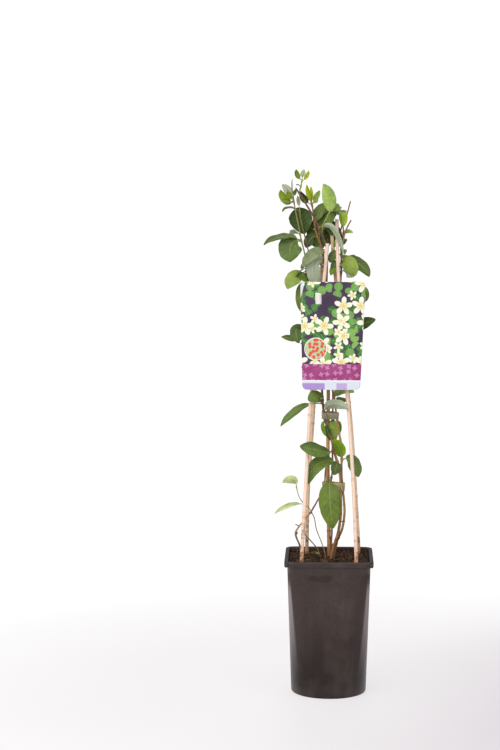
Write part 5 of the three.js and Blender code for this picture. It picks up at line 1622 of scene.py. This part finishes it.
tongue = Gathered()
shares = np.linspace(0, 1, 14)
bottom = TONGUE["z"] - TONGUE["height"] / 2
levels = bottom + TONGUE["height"] * shares
face_line = np.interp(levels, [LABEL_BOTTOM_Z, LABEL_TOP_Z], [LABEL_BOTTOM_Y, LABEL_TOP_Y])
centre_share = (TONGUE["x"] - LABEL_TOP_X) / LABEL_TOP_HALF_WIDTH
bent_back = max(0, -centre_share - LABEL_FLAT_SHARE) ** 2
curl_line = LABEL_CURL * (1 - (LABEL_TOP_Z - levels) / LABEL_HEIGHT) * bent_back
front_line = face_line + curl_line - TONGUE_SET_BACK - TONGUE_BEND * shares ** 1.4
half_widths = TONGUE["width"] / 2 * np.clip(1 - np.clip((shares - 0.9) / 0.1, 0, 1) ** 2 * 0.25, 0, 1)
tongue.add(*skin(np.array([
    [(TONGUE["x"] - w, y, z), (TONGUE["x"] + w, y, z),
     (TONGUE["x"] + w, y + LABEL_THICKNESS, z), (TONGUE["x"] - w, y + LABEL_THICKNESS, z)]
    for w, y, z in zip(half_widths, front_line, levels)])))

# %% [markdown]
# ### The card's print
# The front of such a card is a colour print: foliage and flowers over a dark ground, a bright band below
# and a light strip at the foot. An image would fix one known label on the part, so the print is drawn
# here from plain shapes. One group scatters a motif and turns each copy differently, a second draws
# petals or leaves round a middle, and a third draws straight panels. A round window shows berries, and
# the curled corner at the top left is left bare, where the print has rubbed off.

# %% Scatter: the local place inside the nearest of many scattered motifs
scatter, given, result = new_group("scatter", {"Card": None, "Spacing": 2.0, "Seed": 0.0},
                                   ["Across", "Up", "Luck"])
fineness = calc(scatter, "DIVIDE", 1.0, given["Spacing"])
scaled = add_node(scatter, "ShaderNodeVectorMath", operation="SCALE", inputs={
    0: given["Card"], "Scale": fineness}).outputs[0]
shifted = add_node(scatter, "ShaderNodeCombineXYZ", {"X": given["Seed"], "Y": given["Seed"], "Z": 0.0})
placed = vector_calc(scatter, "ADD", scaled, shifted.outputs[0])
cell = add_node(scatter, "ShaderNodeTexVoronoi", {"Vector": placed, "Scale": 1.0, "Randomness": 0.65},
                voronoi_dimensions="2D")
offset = vector_calc(scatter, "SUBTRACT", placed, cell.outputs["Position"])
luck = split(scatter, cell.outputs["Color"])
turned = add_node(scatter, "ShaderNodeVectorRotate", {
    "Vector": offset, "Axis": (0, 0, 1), "Angle": times(scatter, luck["Y"], 2 * math.pi)}).outputs[0]
back = add_node(scatter, "ShaderNodeVectorMath", operation="SCALE", inputs={
    0: turned, "Scale": given["Spacing"]}).outputs[0]
local = split(scatter, back)
scatter.links.new(local["X"], result["Across"])
scatter.links.new(local["Y"], result["Up"])
scatter.links.new(luck["X"], result["Luck"])

# %% Petals: a rosette of any number of lobes round a middle
petals, given, result = new_group("petals", {"Across": 0.0, "Up": 0.0, "Radius": 1.0, "Lobes": 5.0,
                                             "Waist": 0.4}, ["Mask", "Depth"])
local = add_node(petals, "ShaderNodeCombineXYZ", {"X": given["Across"], "Y": given["Up"], "Z": 0.0})
reach = vector_calc(petals, "LENGTH", local.outputs[0])
angle = calc(petals, "ARCTAN2", given["Up"], given["Across"])
wave = calc(petals, "COSINE", times(petals, angle, times(petals, given["Lobes"], 0.5)))
rest = calc(petals, "SUBTRACT", 1.0, given["Waist"])
bulge = scale_add(petals, calc(petals, "ABSOLUTE", wave), rest, given["Waist"])
outline = times(petals, given["Radius"], bulge)
depth = calc(petals, "DIVIDE", reach, outline)
petals.links.new(ramp(petals, depth, 1.0, 0.93), result["Mask"])
petals.links.new(depth, result["Depth"])

# %% Panel: a straight-edged area of the card
panel, given, result = new_group("panel", {"Card": None, "Left": -1.0, "Right": 1.0, "Bottom": 0.0,
                                           "Top": 1.0}, ["Mask"])
spot = split(panel, given["Card"])
inside_x = times(panel, calc(panel, "GREATER_THAN", spot["X"], given["Left"]),
                calc(panel, "LESS_THAN", spot["X"], given["Right"]))
inside_y = times(panel, calc(panel, "GREATER_THAN", spot["Y"], given["Bottom"]),
                calc(panel, "LESS_THAN", spot["Y"], given["Top"]))
panel.links.new(times(panel, inside_x, inside_y), result["Mask"])

# %% Card print: its layers of motifs, in centimetres across and up from the card's foot
# Each layer: seed, spacing, radius, the luck below which a spot stays empty and, for leaves, two tones.
LEAF_LAYERS = [(3.0, 1.7, 1.15, 0.3, srgb(30, 92, 34), srgb(70, 134, 44)),
               (17.0, 2.1, 1.3, 0.5, srgb(72, 140, 60), srgb(132, 176, 84))]
BLOSSOM_LAYERS = [(31.0, 3.1, 1.5, 0.3), (43.0, 2.0, 0.8, 0.62)]
WINDOW_PLACE = (-2.6, 6.2, 0.0)
WINDOW_RADIUS, WINDOW_FRAME_RADIUS = 1.6, 1.72
CARD_SIDE = 9.0
BARE_CORNER, BARE_CORNER_LEAN = -8.4, 0.25

label_print, tree, shader = new_material("printed card", Specular_IOR_Level=0.45)
where = position(tree)
parts = split(tree, where)
across = scale_add(tree, parts["X"], 100.0, -LABEL_TOP_X / 10)
up = scale_add(tree, parts["Z"], 100.0, -LABEL_BOTTOM_Z / 10)
flat = add_node(tree, "ShaderNodeCombineXYZ", {"X": across, "Y": up, "Z": 0.0}).outputs[0]
grain = mottled(tree, where, 420.0, 21.0)


def motifs(seed, spacing, radius, lobes, waist):
    """Scattered rosettes: the place inside each copy, and the mask and depth of its petals."""
    spread = place_group(tree, scatter, card=flat, spacing=spacing, seed=seed)
    return spread, place_group(tree, petals, across=spread["Across"], up=spread["Up"], radius=radius,
                               lobes=lobes, waist=waist)


picture = mix(tree, grain["Broad"], srgb(58, 38, 68), srgb(74, 50, 82))
for seed, spacing, radius, least, tone, bright in LEAF_LAYERS:
    spread, leaf = motifs(seed, spacing, radius, 2.0, 0.12)
    rib = ramp(tree, calc(tree, "ABSOLUTE", spread["Up"]), 0.05, 0.02)
    green = mix(tree, spread["Luck"], tone, bright)
    green = mix(tree, times(tree, rib, 0.5), green, srgb(168, 196, 130))
    shown = times(tree, leaf["Mask"], calc(tree, "GREATER_THAN", spread["Luck"], least))
    picture = mix(tree, shown, picture, green)
for seed, spacing, radius, least in BLOSSOM_LAYERS:
    spread, blossom = motifs(seed, spacing, radius, 5.0, 0.26)
    cream = mix(tree, ramp(tree, blossom["Depth"], 0.1, 0.7), srgb(232, 206, 104), srgb(246, 244, 222))
    shown = times(tree, blossom["Mask"], calc(tree, "GREATER_THAN", spread["Luck"], least))
    picture = mix(tree, shown, picture, cream)
print("layers of motifs:", len(LEAF_LAYERS) + len(BLOSSOM_LAYERS))

# %% Card print: the round window with berries, the bands and the bare corner
from_middle = vector_calc(tree, "LENGTH", vector_calc(tree, "SUBTRACT", flat, WINDOW_PLACE))
_, berry = motifs(57.0, 0.62, 0.27, 2.0, 0.9)
window = mix(tree, grain["Fine"], srgb(206, 216, 176), srgb(176, 194, 140))
window = mix(tree, berry["Mask"], window, srgb(222, 84, 60))
window_frame = ramp(tree, from_middle, WINDOW_FRAME_RADIUS + 0.03, WINDOW_FRAME_RADIUS)
picture = mix(tree, window_frame, picture, srgb(240, 238, 228))
picture = mix(tree, ramp(tree, from_middle, WINDOW_RADIUS + 0.02, WINDOW_RADIUS), picture, window)

_, star = motifs(71.0, 1.1, 0.4, 4.0, 0.3)
band_tone = mix(tree, grain["Broad"], srgb(150, 48, 112), srgb(168, 66, 130))
band_tone = mix(tree, times(tree, star["Mask"], 0.6), band_tone, srgb(218, 160, 200))
# Each band: its left, right, bottom and top, and its tone.
bands = [(-CARD_SIDE, CARD_SIDE, 1.45, 3.9, band_tone),
         (-CARD_SIDE, CARD_SIDE, 1.3, 1.45, srgb(246, 243, 246)),
         (-CARD_SIDE, CARD_SIDE, -1.0, 1.3, srgb(218, 222, 234)),
         (-CARD_SIDE, -1.2, -1.0, 1.0, srgb(168, 142, 204)),
         (0.6, 2.2, -1.0, 1.0, srgb(190, 170, 216))]
for left, right, foot, top, tone in bands:
    area = place_group(tree, panel, card=flat, left=left, right=right, bottom=foot, top=top)
    picture = mix(tree, area["Mask"], picture, tone)
corner_line = scale_add(tree, up, BARE_CORNER_LEAN, BARE_CORNER)
picture = mix(tree, calc(tree, "LESS_THAN", across, corner_line), picture, srgb(228, 224, 224))

# %% Card materials
facing = split(tree, add_node(tree, "ShaderNodeTexCoord").outputs["Normal"])["Y"]
plain_card = mix(tree, grain["Broad"], srgb(240, 236, 230), srgb(232, 228, 222))
colour = mix(tree, calc(tree, "LESS_THAN", facing, -0.5), plain_card, picture)
wire(tree, shader, colour, scale_add(tree, grain["Fine"], 0.08, 0.3), grain["Fine"], 0.00003)

white_card, tree, shader = new_material("white card", Specular_IOR_Level=0.45)
where = position(tree)
grain = mottled(tree, where, 420.0, 23.0)
colour = mix(tree, grain["Broad"], srgb(240, 234, 226), srgb(232, 226, 219))
wire(tree, shader, colour, scale_add(tree, grain["Fine"], 0.08, 0.34), grain["Fine"], 0.00003)

printed = card.build("label_card", [label_print])
shape_with(printed, slot_cut.build("slot_cut", [label_print]), "DIFFERENCE")
settle(printed, "label_card", "label")
settle(tongue.build("label_tongue", [white_card]), "label_card")
settle(card_strap.build("label_strap", [white_card]), "label_card")
